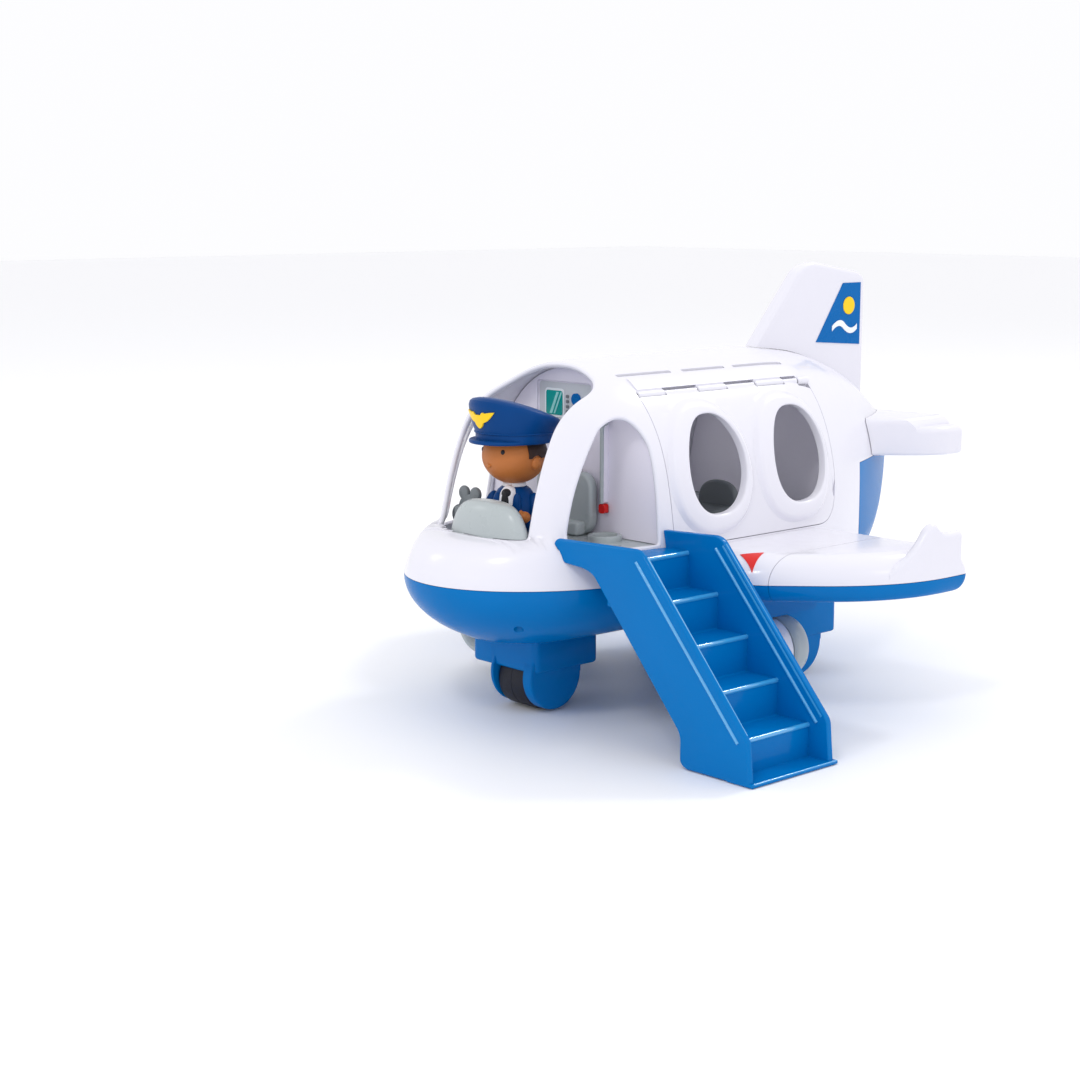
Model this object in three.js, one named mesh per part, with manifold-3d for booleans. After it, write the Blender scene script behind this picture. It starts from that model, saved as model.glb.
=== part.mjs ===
// A chunky toy airliner with boarding stairs and a pilot, in millimetres, +Z up.
// The airframe is modelled with its nose tip at y = 0 and its tail towards +Y; port is +X.
import * as THREE from "three";
import { mergeVertices } from "three/addons/utils/BufferGeometryUtils.js";
import Module from "manifold-3d";

const wasm = await Module();
wasm.setup();

// ---- driving dimensions -------------------------------------------------------------------
const LENGTH = 306; // nose tip to the end of the tail
const MIDDLE = { x: -6.75, y: -153.25 }; // shift to the middle of the whole toy, stairs included
const SEAM_Z = 63; // parting line between the blue lower hull and the white upper shell
const CREST_Z = 154; // top of the roof
const SEAM_HALF = 62; // half width of the fuselage at the seam
const TUMBLEHOME = 0.13; // how much the sides lean in for each mm of height
const WALL = 2.4; // wall of every moulded shell
const GAP = 0.3; // clearance between neighbouring pieces
const TAIL_START = 183; // where the fuselage starts to narrow
const FLOOR_Z = 77; // top of the cabin floor
const COCKPIT_Z = 69; // top of the cockpit floor
const SILL_Z = 82.3; // lower edge of the windscreen opening
const BULKHEAD_Y = 84.4; // front face of the bulkhead behind the pilot
const REAR_WALL_Y = 212; // front face of the wall that closes the cabin at the back
const PANEL = { front: 89, rear: 204.5, low: 75.6 }; // side panel with the windows
const HINGE = { x: 34.5, z: 139.8, barrel: 2.6, bore: 1.25, pin: 0.9, reach: 3.0 };
const HINGE_LUGS = [[106.5, 127.5], [146.5, 166], [185.5, 196]]; // the panel's own knuckles
const ROOF_SLITS = [[87, 121.5], [128.5, 157], [162.5, 197]];
const WINDOW = { ys: [120.2, 176], z: 109.3, half: 18, tall: 21.5, rim: 7.8, proud: 1.5 };
const WHEEL = { r: 12.9, half: 9.2, hub: 8.6, axle: 1.6, bore: 1.9 };
const CHEEK = { r: 15.2, z: 16, inner: 9.8, thick: 15.4, thin: 11.9 }; // round covers beside a wheel
const BLOCK = { z: 18.7, before: 13.4, behind: 25.5, overhang: 26.5, flush: 16.6 }; // housing around an axle
const GEAR = { nose: [0, 60], main: [31, 190] }; // wheel centres, x and y
const WING = { top: 75.2, bottom: 55.5, sweep: 5.6, tip: 139.3, trail: 190, joint: 99 };
const SCREWS = [[31, 24], [-31, 24], [24, 150], [-24, 150]]; // holes in the belly
const ENGINE = { x: 65.5, z: 24, r: 15, front: 83, rear: 157, ring: 11 };
const COWL = { x: 8, y: 30.4, wide: 28, deep: 9.4, tall: 27 };
const YOKE = { x: -18.5, y: 38.4, z: 88.6, shaft: 1.4 };
const PILOT = { x: -2, y: 51, chin: 101.4, rim: 121.5 };
const STAIRS = { y0: 36, y1: 86.4, foot: 151.6, z0: 18.5, top: 85.5, wall: 3 };
const STEPS = { rise: 15.4, run: 17, nosing: 141 };

// ---- materials ----------------------------------------------------------------------------
const plastic = (color, roughness) => new THREE.MeshStandardMaterial({ color, roughness, metalness: 0 });
const BLUE = plastic(0x0076c4, 0.25);
const WHITE = plastic(0xf4f4f8, 0.25);
const LIGHT_GREY = plastic(0xacb4b6, 0.35);
const DARK_GREY = plastic(0x6e7376, 0.45);
const TYRE = plastic(0x191b28, 0.7);
const NAVY = plastic(0x0d3c78, 0.5);
const SKIN = plastic(0xbe6e32, 0.55);
const YELLOW = plastic(0xf0c314, 0.45);
const RED = plastic(0xdc231e, 0.4);
const TEAL = plastic(0x00968f, 0.35);
const DECAL_BLUE = plastic(0x2373c3, 0.35);
const STEEL = new THREE.MeshStandardMaterial({ color: 0x9a9ca0, roughness: 0.35, metalness: 0.9 });

// ---- solids -------------------------------------------------------------------------------
function solidOf(geometry) {
  const bare = geometry.index ? geometry.toNonIndexed() : geometry.clone();
  bare.deleteAttribute("normal");
  bare.deleteAttribute("uv");
  const merged = mergeVertices(bare, 1e-4);
  return new wasm.Manifold(
    new wasm.Mesh({
      numProp: 3,
      vertProperties: merged.attributes.position.array,
      triVerts: new Uint32Array(merged.index.array),
    }),
  );
}

function meshOf(name, solid, material) {
  const made = solid.getMesh();
  const geometry = new THREE.BufferGeometry();
  geometry.setAttribute("position", new THREE.BufferAttribute(made.vertProperties, 3));
  geometry.setIndex(new THREE.BufferAttribute(made.triVerts, 1));
  geometry.computeVertexNormals();
  const mesh = new THREE.Mesh(geometry, material);
  mesh.name = name;
  return mesh;
}

const together = (solids) => solids.reduce((all, one) => all.add(one));

// Skins closed rings of equal length and closes both ends with a fan.
function skin(rings) {
  const n = rings[0].length;
  const points = rings.flat();
  const faces = [];
  for (let r = 0; r + 1 < rings.length; r += 1) {
    for (let i = 0; i < n; i += 1) {
      const a = r * n + i;
      const b = r * n + ((i + 1) % n);
      faces.push(a, b, b + n, a, b + n, a + n);
    }
  }
  [rings[0], rings[rings.length - 1]].forEach((ring, end) => {
    const middle = ring.reduce((sum, p) => sum.add(p), new THREE.Vector3()).divideScalar(n);
    const hub = points.push(middle) - 1;
    const start = end ? (rings.length - 1) * n : 0;
    for (let i = 0; i < n; i += 1) {
      const a = start + i;
      const b = start + ((i + 1) % n);
      faces.push(...(end ? [hub, a, b] : [hub, b, a]));
    }
  });
  const geometry = new THREE.BufferGeometry().setFromPoints(points);
  geometry.setIndex(faces);
  const solid = solidOf(geometry);
  if (solid.volume() > 0) return solid;
  for (let i = 0; i < faces.length; i += 3) [faces[i + 1], faces[i + 2]] = [faces[i + 2], faces[i + 1]];
  geometry.setIndex(faces);
  return solidOf(geometry);
}

function extrude(shape, depth, steps) {
  return new THREE.ExtrudeGeometry(shape, { depth, bevelEnabled: false, curveSegments: steps });
}

// Prisms of an outline along each axis: along X the outline is (y, z), along Y (x, z), along Z (x, y).
function prismX(shape, x0, x1, steps = 8) {
  const turn = new THREE.Matrix4().set(0, 0, 1, x0, 1, 0, 0, 0, 0, 1, 0, 0, 0, 0, 0, 1);
  return solidOf(extrude(shape, x1 - x0, steps).applyMatrix4(turn));
}

function prismY(shape, y0, y1, steps = 8) {
  return solidOf(extrude(shape, y1 - y0, steps).rotateX(Math.PI / 2).translate(0, y1, 0));
}

function prismZ(shape, z0, z1, steps = 8) {
  return solidOf(extrude(shape, z1 - z0, steps).translate(0, 0, z0));
}

function box(x0, x1, y0, y1, z0, z1) {
  const geometry = new THREE.BoxGeometry(x1 - x0, y1 - y0, z1 - z0);
  return solidOf(geometry.translate((x0 + x1) / 2, (y0 + y1) / 2, (z0 + z1) / 2));
}

function outline(points) {
  return new THREE.Shape(points.map(([a, b]) => new THREE.Vector2(a, b)));
}

function roundedRect(a0, a1, b0, b1, r) {
  const shape = new THREE.Shape();
  shape.moveTo(a0 + r, b0).lineTo(a1 - r, b0).quadraticCurveTo(a1, b0, a1, b0 + r);
  shape.lineTo(a1, b1 - r).quadraticCurveTo(a1, b1, a1 - r, b1);
  shape.lineTo(a0 + r, b1).quadraticCurveTo(a0, b1, a0, b1 - r);
  shape.lineTo(a0, b0 + r).quadraticCurveTo(a0, b0, a0 + r, b0);
  return shape;
}

// A turned solid from [radius, height] points, about an axis along X, Y or Z through a point.
function turned(profile, axis, at, sides = 24) {
  const points = profile.map(([r, h]) => new THREE.Vector2(r, h));
  const geometry = new THREE.LatheGeometry(points, sides);
  if (axis === "x") geometry.rotateZ(-Math.PI / 2);
  if (axis === "z") geometry.rotateX(Math.PI / 2);
  return solidOf(geometry.translate(...at));
}

const rod = (r, h0, h1, axis, at, sides = 16) =>
  turned([[0, h0], [r, h0], [r, h1], [0, h1]], axis, at, sides);

// ---- curves -------------------------------------------------------------------------------
// A smooth curve that never overshoots its points.
function curveThrough(points) {
  const last = points.length - 1;
  const slope = (i) => (points[i + 1][1] - points[i][1]) / (points[i + 1][0] - points[i][0]);
  const tangents = points.map((_, i) => {
    if (i === 0) return slope(0);
    if (i === last) return slope(last - 1);
    const [before, after] = [slope(i - 1), slope(i)];
    return before * after <= 0 ? 0 : (2 * before * after) / (before + after);
  });
  return (v) => {
    if (v <= points[0][0]) return points[0][1];
    if (v >= points[last][0]) return points[last][1];
    const i = points.findIndex((p) => p[0] > v) - 1;
    const width = points[i + 1][0] - points[i][0];
    const t = (v - points[i][0]) / width;
    const rise = points[i][1] * (1 + 2 * t) * (1 - t) ** 2 + points[i + 1][1] * t * t * (3 - 2 * t);
    return rise + width * (tangents[i] * t * (1 - t) ** 2 - tangents[i + 1] * t * t * (1 - t));
  };
}

// How far back the nose and the windscreen lie on the centreline, by height.
const frontOf = curveThrough([
  [63, 0], [66, 0.4], [70, 1.6], [75, 4], [79, 8], [81.3, 13], [82.5, 20],
  [90, 22], [100, 24.3], [112, 28], [120, 31], [130, 35], [138, 41], [144, 50], [149, 61],
  [152.5, 73], [154, 85],
]);
// Where the fuselage reaches its full width, by height.
const fullWidthOf = curveThrough([[63, 86], [80, 100], [100, 98], [116, 92], [131, 87], [154, 86]]);
const roofOf = curveThrough([[200, 154], [225, 151], [250, 144], [270, 135], [290, 122], [306, 111]]);
const keelOf = curveThrough([
  [0, 62], [2, 56], [5, 50.5], [11, 44], [21, 38], [35, 33], [52, 31], [190, 31],
  [215, 33], [235, 37], [250, 42], [262, 49], [273, 58], [283, 69], [291, 81], [298, 93], [306, 101],
]);
// The height of the widest section, which climbs towards the tail.
const waistOf = curveThrough([[222, 63], [250, 66], [270, 74], [285, 86], [296, 97], [306, 104]]);
const tailFactor = (y) => {
  if (y <= TAIL_START) return 1;
  const u = Math.min(1, (y - TAIL_START) / (LENGTH + 2 - TAIL_START));
  return (1 - u ** 1.4) ** 0.85;
};

function crestOf(y) {
  if (y >= 85) return roofOf(y);
  let [low, high] = [SEAM_Z, CREST_Z];
  for (let i = 0; i < 40; i += 1) {
    const z = (low + high) / 2;
    if (frontOf(z) < y) low = z;
    else high = z;
  }
  return low;
}

// Half width of the full section at a height.
function sectionHalf(z) {
  const t = (z - SEAM_Z) / (CREST_Z - SEAM_Z);
  return (SEAM_HALF - TUMBLEHOME * (z - SEAM_Z)) * Math.sqrt(Math.max(0, 1 - t ** 4));
}

function noseFactor(y, z) {
  const u = (y - frontOf(z)) / (fullWidthOf(z) - frontOf(z));
  return u >= 1 ? 1 : Math.sqrt(Math.max(0, 1 - (1 - u) ** 2));
}

// A point of the fuselage: the angle runs from the port seam over the crest and back under the keel.
function hullPoint(y, angle) {
  const side = Math.sign(Math.cos(angle));
  const lift = Math.sin(angle);
  const waist = waistOf(y);
  if (lift >= 0) {
    const z = waist + (crestOf(y) - waist) * lift;
    const scale = (CREST_Z - SEAM_Z) / (roofOf(y) - waist);
    const half = sectionHalf(SEAM_Z + (z - waist) * scale) * noseFactor(y, z) * tailFactor(y);
    return new THREE.Vector3(side * half, y, z);
  }
  const z = waist - (waist - keelOf(y)) * -lift;
  const half = SEAM_HALF * noseFactor(y, SEAM_Z) * tailFactor(y) * (1 - (-lift) ** 2.2) ** 0.56;
  return new THREE.Vector3(side * half, y, z);
}

const RING = 26; // points around the fuselage
const STATIONS = [
  0.5, 2, 5, 10, 17, 22, 28, 36, 46, 58, 72, 90, 183, 200, 218, 238, 258, 274, 286, 296, 306,
];

// The fuselage as a solid whose surface lies an offset outside, or inside where negative.
function fuselage(offset, stations = STATIONS) {
  const nudge = 0.02;
  const rings = stations.map((y) =>
    Array.from({ length: RING }, (_, i) => {
      const angle = ((i + 0.5) / RING) * 2 * Math.PI;
      const here = hullPoint(y, angle);
      const along = hullPoint(y + nudge, angle).sub(hullPoint(Math.max(0.01, y - nudge), angle));
      const around = hullPoint(y, angle + nudge).sub(hullPoint(y, angle - nudge));
      const out = around.cross(along).normalize();
      if (out.x * here.x + out.z * (here.z - SEAM_Z) < 0) out.negate();
      return here.addScaledVector(out, offset);
    }),
  );
  return skin(rings);
}

const INSIDE = [4, 9, 16, 23, 31, 42, 58, 80, 183, 205, 230, 255, 274, 286];
const outer = fuselage(0);
const shell = outer.subtract(fuselage(-WALL, INSIDE));
const cabinSpace = fuselage(-WALL - GAP - 0.2, INSIDE.filter((y) => y > 4 && y < 280));
const around = fuselage(GAP);

// The part of the fuselage below the seam, which climbs at the tail to the stabilizers.
function belowSeam(inset) {
  const [z, step, high] = [SEAM_Z - inset, 228 + inset, 98 - inset];
  return prismX(
    outline([[-20, -20], [-20, z], [step, z], [step + 10, high], [340, high], [340, -20]]),
    -100,
    100,
  );
}

// ---- wings --------------------------------------------------------------------------------
// The port wing's plan, drawn in by an inset all round.
function wingPlan(inset) {
  const lead = WING.sweep + inset * Math.SQRT2;
  const tip = WING.tip - inset;
  const trail = WING.trail + 2.5 - inset;
  const start = 114 - inset * 0.4;
  const shape = new THREE.Shape();
  shape.moveTo(40, 88 + inset).quadraticCurveTo(84, 84 + lead, 100, 100 + lead).lineTo(start, start + lead);
  shape.quadraticCurveTo(tip, tip + lead, tip, Math.min(trail - 6, tip + lead + 33));
  shape.lineTo(tip, trail - 5).quadraticCurveTo(tip, trail, tip - 5, trail).lineTo(40, trail - 3);
  return shape;
}

// Slices the wing's rounded edge: each layer is the plan drawn in a little more.
function wingHalf(z0, z1, roundness) {
  const layers = 4;
  const rings = Array.from({ length: layers + 1 }, (_, i) => {
    const angle = (i / layers) * (Math.PI / 2);
    const inset = roundness * (1 - Math.cos(angle));
    const z = z0 + (z1 - z0) * Math.sin(angle);
    return wingPlan(inset).getPoints(5).map((p) => new THREE.Vector3(p.x, p.y, z));
  });
  return skin(rings);
}

// The upturned wing tip: a wall along the edge of the plan, with a stepped top.
function winglet() {
  const wall = prismZ(wingPlan(0), SEAM_Z + 0.2, 92).subtract(prismZ(wingPlan(4.6), SEAM_Z, 93));
  const side = new THREE.Shape();
  side.moveTo(144, 60).lineTo(150, 71).quadraticCurveTo(157, 75, 163, 84.5);
  side.quadraticCurveTo(166, 88.6, 169.5, 86.8).quadraticCurveTo(172.5, 82.8, 177, 82.6);
  side.lineTo(184, 82.6).quadraticCurveTo(187, 82.6, 187.6, 79).lineTo(190, 60);
  return wall.intersect(prismX(side, 120, 150));
}

function wings() {
  const top = wingHalf(SEAM_Z + GAP / 2, WING.top, 12);
  const bottom = wingHalf(SEAM_Z - GAP / 2, WING.bottom, 4);
  const stub = box(30, WING.joint, 0, 300, 0, 120);
  const tip = box(WING.joint + GAP, 200, 0, 300, 0, 120);
  return {
    topStub: top.intersect(stub),
    bottomStub: bottom.intersect(stub),
    topTip: top.add(winglet()).intersect(tip),
    bottomTip: bottom.intersect(tip),
  };
}

// ---- undercarriage ------------------------------------------------------------------------
// One wheel housing with its two round covers; the block is flush with the cover on one side.
function housing([x, y], flush) {
  const reach = [BLOCK.overhang, BLOCK.flush];
  const [x0, x1] = flush > 0 ? [x - reach[0], x + reach[1]] : [x - reach[1], x + reach[0]];
  const [y0, y1] = [y - BLOCK.before, y + BLOCK.behind];
  const layer = (z, draw) =>
    roundedRect(x0 + draw, x1 - draw * 0.3, y0 + draw, y1 - draw * 2, 3)
      .getPoints(3)
      .map((p) => new THREE.Vector3(p.x, p.y, z));
  const block = skin([layer(BLOCK.z, 1.6), layer(BLOCK.z + 1.2, 0.9), layer(52, 0)]);
  const cheek = (a, b) =>
    rod(CHEEK.r, a, b, "x", [x, y, CHEEK.z], 22).add(box(x + a, x + b, y - 8, y + CHEEK.r, CHEEK.z, 24));
  const [port, starboard] = flush > 0 ? [CHEEK.thick, CHEEK.thin] : [CHEEK.thin, CHEEK.thick];
  return together([block, cheek(CHEEK.inner, port), cheek(-starboard, -CHEEK.inner)]);
}

const wheelWell = ([x, y]) =>
  rod(WHEEL.r + 0.8, -CHEEK.inner, CHEEK.inner, "x", [x, y, WHEEL.r], 18)
    .add(rod(WHEEL.axle + 0.2, -CHEEK.inner - 1.2, CHEEK.inner + 1.2, "x", [x, y, WHEEL.r], 8));

function wheel(name, [x, y]) {
  const centre = [x, y, WHEEL.r];
  const { r, half, hub, bore } = WHEEL;
  const tread = [
    [hub + 0.3, -half], [r - 1, -half], [r, -half + 1], [r, half - 1], [r - 1, half], [hub + 0.3, half],
    [hub + 0.3, -half],
  ];
  const core = [
    [bore, -half + 0.4], [hub, -half + 0.4], [hub, half - 0.4], [bore, half - 0.4], [bore, -half + 0.4],
  ];
  return [
    meshOf(`${name}_tyre`, turned(tread, "x", centre, 24), TYRE),
    meshOf(`${name}_wheel_hub`, turned(core, "x", centre, 16), LIGHT_GREY),
    meshOf(`${name}_axle`, rod(WHEEL.axle, -10.7, 10.7, "x", centre, 8), STEEL),
  ];
}

// ---- engines ------------------------------------------------------------------------------
function engine(side, name) {
  const { r, z, front, rear, ring } = ENGINE;
  const at = [side * ENGINE.x, 0, z];
  const body = [
    [0, front + ring], [r - 0.6, front + ring], [r, front + ring + 6], [r, rear - ring - 8],
    [r - 0.8, rear - ring - GAP], [0, rear - ring - GAP],
  ];
  const lip = [
    [0, front + 5], [r - 4, front + 3], [r - 2.6, front + 0.6], [r - 1, front], [r + 0.3, front + 2],
    [r, front + ring - GAP], [0, front + ring - GAP],
  ];
  const pipe = [
    [0, rear - ring], [r, rear - ring], [r + 0.6, rear - ring + 2], [r - 0.6, rear - 1], [r - 2, rear],
    [r - 4.2, rear - 1.4], [r - 5, rear - 4], [0, rear - 4],
  ];
  return [
    meshOf(`${name}_engine_body`, turned(body, "y", at, 18), WHITE),
    meshOf(`${name}_engine_intake`, turned(lip, "y", at, 18), LIGHT_GREY),
    meshOf(`${name}_engine_exhaust`, turned(pipe, "y", at, 18), LIGHT_GREY),
  ];
}

function pylon(side) {
  const web = outline([[98, 30], [164, 30], [189, 57], [92, 57]]);
  const plate = prismX(web, side * ENGINE.x - 4, side * ENGINE.x + 4);
  return plate.subtract(rod(ENGINE.r + GAP + 0.4, 0, 200, "y", [side * ENGINE.x, 0, ENGINE.z], 18));
}

// ---- shells -------------------------------------------------------------------------------
function lowerHull(wing, starboardWing) {
  const gears = [[GEAR.nose, 1], [GEAR.main, 1], [[-GEAR.main[0], GEAR.main[1]], -1]];
  const blocks = together(gears.map(([spot, flush]) => housing(spot, flush)));
  const wells = together(gears.map(([spot]) => wheelWell(spot)));
  const solidOutside = together([blocks, wing.bottomStub, starboardWing.bottomStub, pylon(1), pylon(-1)]);
  let hull = shell.intersect(belowSeam(GAP / 2)).add(solidOutside.subtract(fuselage(-WALL / 2, INSIDE)));
  hull = hull.subtract(wells);
  SCREWS.forEach(([x, y]) => {
    hull = hull.subtract(rod(2.1, 20, 60, "z", [x, y, 0], 12));
  });
  return meshOf("lower_hull", hull, BLUE);
}

function doorShape() {
  const shape = new THREE.Shape();
  shape.moveTo(40.5, FLOOR_Z + 0.4).quadraticCurveTo(45.5, 110, 61, 128.8);
  shape.quadraticCurveTo(79, 141, 84, 120).quadraticCurveTo(84, 100, 81.4, FLOOR_Z + 0.4);
  return shape;
}

function windscreenPlan() {
  const shape = new THREE.Shape();
  shape.moveTo(-30, -10).lineTo(30, -10).lineTo(30, 64).quadraticCurveTo(30, 75, 19, 76.4);
  shape.quadraticCurveTo(0, 79.6, -19, 76.4).quadraticCurveTo(-30, 75, -30, 64);
  return shape;
}

// Fixed stretches of the hinge lie between the panel's lugs.
function fixedStretches() {
  const stops = [PANEL.front + 0.5, ...HINGE_LUGS.flat(), PANEL.rear - 0.5];
  return [0, 2, 4, 6].map((i) => [stops[i] + (i ? 0.45 : 0), stops[i + 1] - (i < 6 ? 0.45 : 0)]);
}

const onSide = (side, solid) => (side > 0 ? solid : solid.mirror([1, 0, 0]));

function hingeBarrel([y0, y1]) {
  return rod(HINGE.barrel, y0, y1, "y", [HINGE.x, 0, HINGE.z], 12);
}

function panelOpening() {
  const frame = roundedRect(PANEL.front, PANEL.rear, PANEL.low, 160, 3);
  const main = prismX(frame, HINGE.x, 90);
  const pockets = HINGE_LUGS.map(([y0, y1]) => {
    return box(HINGE.x - HINGE.reach, HINGE.x + 1, y0 - 0.45, y1 + 0.45, 130, 160);
  });
  return together([main, ...pockets]);
}

function upperShell(wing, starboardWing) {
  let body = shell.subtract(belowSeam(-GAP / 2));
  body = body.add(wing.topStub.add(starboardWing.topStub).subtract(fuselage(-WALL / 2, INSIDE)));
  body = body.subtract(prismZ(windscreenPlan(), SILL_Z, 170, 10));
  body = body.subtract(prismX(doorShape(), -90, 90, 12));
  const opening = panelOpening();
  const barrels = together(fixedStretches().map(hingeBarrel));
  const bore = rod(HINGE.bore, PANEL.front - 1, PANEL.rear + 0.6, "y", [HINGE.x, 0, HINGE.z], 8);
  const slits = together(ROOF_SLITS.map(([y0, y1]) => box(23.8, 25.2, y0, y1, 130, 160)));
  [1, -1].forEach((side) => {
    body = body.subtract(onSide(side, opening)).add(onSide(side, barrels));
    body = body.subtract(onSide(side, bore.add(slits)));
  });
  return meshOf("upper_shell", body, WHITE);
}

// ---- side panels --------------------------------------------------------------------------
// Egg-shaped outline of a window, narrower at the top, grown by a rim.
function windowShape(y, grow) {
  const points = Array.from({ length: 20 }, (_, i) => {
    const a = (i / 20) * 2 * Math.PI;
    const [across, up] = [Math.cos(a), Math.sin(a)];
    const half = (WINDOW.half - 1.2 * up + grow) * Math.sign(across) * Math.abs(across) ** 0.85;
    return [y + 1.6 * up + half, WINDOW.z + (WINDOW.tall + grow) * up];
  });
  return outline(points);
}

function sidePanel(side, name) {
  const inset = GAP + 0.05;
  const skinPart = roundedRect(PANEL.front + inset, PANEL.rear - inset, PANEL.low + inset, 160, 3);
  let panel = shell.intersect(prismX(skinPart, HINGE.x + HINGE.reach, 90));
  const frames = fuselage(WINDOW.proud, [72, 90, 183, 200, 218]);
  const hollow = fuselage(-WALL * 0.6, INSIDE);
  const inPanel = prismX(skinPart, HINGE.x + HINGE.reach, 90);
  WINDOW.ys.forEach((y) => {
    const rim = frames.intersect(prismX(windowShape(y, WINDOW.rim), 30, 90)).subtract(hollow);
    panel = panel.add(rim.intersect(inPanel));
  });
  WINDOW.ys.forEach((y) => {
    panel = panel.subtract(prismX(windowShape(y, 0), 30, 90));
  });
  HINGE_LUGS.forEach(([y0, y1]) => {
    const tongue = shell.intersect(box(HINGE.x, HINGE.x + HINGE.reach + 1, y0, y1, 125, 160));
    panel = panel.add(tongue).add(hingeBarrel([y0, y1]));
  });
  const notch = roundedRect(PANEL.rear - 3.2, PANEL.rear + 4, 84.5, 94, 1.5);
  panel = panel.subtract(prismX(notch, 30, 90, 3));
  panel = panel.subtract(rod(HINGE.bore, 80, 210, "y", [HINGE.x, 0, HINGE.z], 8));
  const pin = rod(HINGE.pin, PANEL.front - 0.4, PANEL.rear + 0.2, "y", [HINGE.x, 0, HINGE.z], 8);
  return [
    meshOf(`${name}_window_panel`, onSide(side, panel), WHITE),
    meshOf(`${name}_hinge_pin`, onSide(side, pin), STEEL),
  ];
}

// ---- tail ---------------------------------------------------------------------------------
function finShape(inset) {
  const shape = new THREE.Shape();
  shape.moveTo(194 + inset, 146).lineTo(231 + inset, 187.5 - inset);
  shape.quadraticCurveTo(236 + inset, 193.6 - inset, 247, 193.6 - inset);
  const rear = 285.6 - inset;
  shape.lineTo(280 - inset, 188.5 - inset).quadraticCurveTo(rear, 187 - inset, rear, 182 - inset);
  shape.lineTo(rear, 116).lineTo(194 + inset, 140);
  return shape;
}

function tailFin() {
  const layers = [[-3.4, 1.4], [-2, 0], [2, 0], [3.4, 1.4]];
  const rings = layers.map(([x, inset]) =>
    finShape(inset).getPoints(6).map((p) => new THREE.Vector3(x, p.x, p.y)),
  );
  return meshOf("tail_fin", skin(rings).subtract(around), WHITE);
}

// A blue field towards the rear of the fin with a generic sun over a wave.
function finDecals(side, name) {
  const x0 = side > 0 ? 3.5 : -3.8;
  const field = outline([[247.6, 154], [281.8, 151.5], [281.8, 182.8], [267.8, 182.8]]);
  const sun = new THREE.Shape();
  sun.absarc(272.4, 171.4, 4.4, 0, 2 * Math.PI);
  const wave = new THREE.Shape();
  wave.moveTo(259.5, 161.5).quadraticCurveTo(265.5, 166.5, 269.5, 162.5);
  wave.quadraticCurveTo(274.5, 158, 279, 162).lineTo(279, 159.4);
  wave.quadraticCurveTo(274, 155.2, 268.5, 159.8).quadraticCurveTo(264.5, 163.4, 259.5, 159);
  const plate = prismX(field, x0, x0 + 0.3);
  const [m0, m1] = side > 0 ? [x0 + 0.35, x0 + 0.6] : [x0 - 0.3, x0 - 0.05];
  return [
    meshOf(`${name}_fin_decal`, plate, DECAL_BLUE),
    meshOf(`${name}_fin_sun`, prismX(sun, m0, m1, 7), YELLOW),
    meshOf(`${name}_fin_wave`, prismX(wave, m0, m1, 4), WHITE),
  ];
}

function stabilizerPlan(inset, tip) {
  const lead = (x) => 227.5 + 1.06 * x + inset * 1.45;
  const rear = LENGTH - 1.5 - inset;
  const end = tip - inset;
  const shape = new THREE.Shape();
  shape.moveTo(2, lead(2)).lineTo(end - 10, lead(end - 10));
  shape.quadraticCurveTo(end, lead(end), end, lead(end) + 7).lineTo(end, rear - 4);
  shape.quadraticCurveTo(end, rear, end - 4, rear).lineTo(2, rear - 3);
  return shape;
}

function stabilizer(side, name) {
  const slab = (z0, z1, tip) => {
    const layers = [[z0, 1.6], [z0 + 1.6, 0], [z1 - 3, 0], [z1 - 1, 1], [z1, 3]];
    return skin(
      layers.map(([z, inset]) =>
        stabilizerPlan(inset, tip).getPoints(4).map((p) => new THREE.Vector3(p.x, p.y, z)),
      ),
    );
  };
  const low = slab(98.3, 112.6, 54.5);
  const high = slab(98.3, 117, 54.5).intersect(
    prismY(outline([[0, 90], [50, 90], [45, 112.6], [40.5, 117.2], [0, 117.2]]), 200, 340),
  );
  const taper = box(0, 9, 292, LENGTH + 1, 90, 108);
  return meshOf(`${name}_stabilizer`, onSide(side, low.add(high).subtract(around).subtract(taper)), WHITE);
}

// ---- cabin --------------------------------------------------------------------------------
function cabin() {
  const cabinFloor = cabinSpace.intersect(box(-80, 80, 68.4, 222, FLOOR_Z - 2.4, FLOOR_Z));
  const ring = [[5.6, -1], [7.6, -1], [7.6, 2.2], [7, 2.6], [5.6, 2.6], [5.6, -1]];
  const peg = turned(ring, "z", [29, 76.5, FLOOR_Z], 20);
  const cockpitFloor = cabinSpace.intersect(box(-80, 80, 20, 68, COCKPIT_Z - 2.4, COCKPIT_Z));
  const riser = cabinSpace.intersect(box(-50, 50, 66, 68, COCKPIT_Z - 1, FLOOR_Z));
  const plate = cabinSpace.intersect(
    box(-80, 80, BULKHEAD_Y, BULKHEAD_Y + 2.6, FLOOR_Z + GAP, 160),
  );
  const recess = prismY(roundedRect(-24, 12, 123.5, 144, 2), BULKHEAD_Y - 1, BULKHEAD_Y + 1.2, 3);
  const handle = prismY(roundedRect(20.6, 23.2, 92, 128, 1.2), BULKHEAD_Y - 3, BULKHEAD_Y + 0.4, 3);
  const rearWall = cabinSpace.intersect(
    box(-80, 80, REAR_WALL_Y, REAR_WALL_Y + 2.6, FLOOR_Z + GAP, 160),
  );
  return [
    meshOf("cabin_floor", cabinFloor.add(peg), LIGHT_GREY),
    meshOf("cockpit_floor", cockpitFloor.add(riser), LIGHT_GREY),
    meshOf("bulkhead", plate.subtract(recess).add(handle), WHITE),
    meshOf("rear_bulkhead", rearWall, WHITE),
  ];
}

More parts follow.
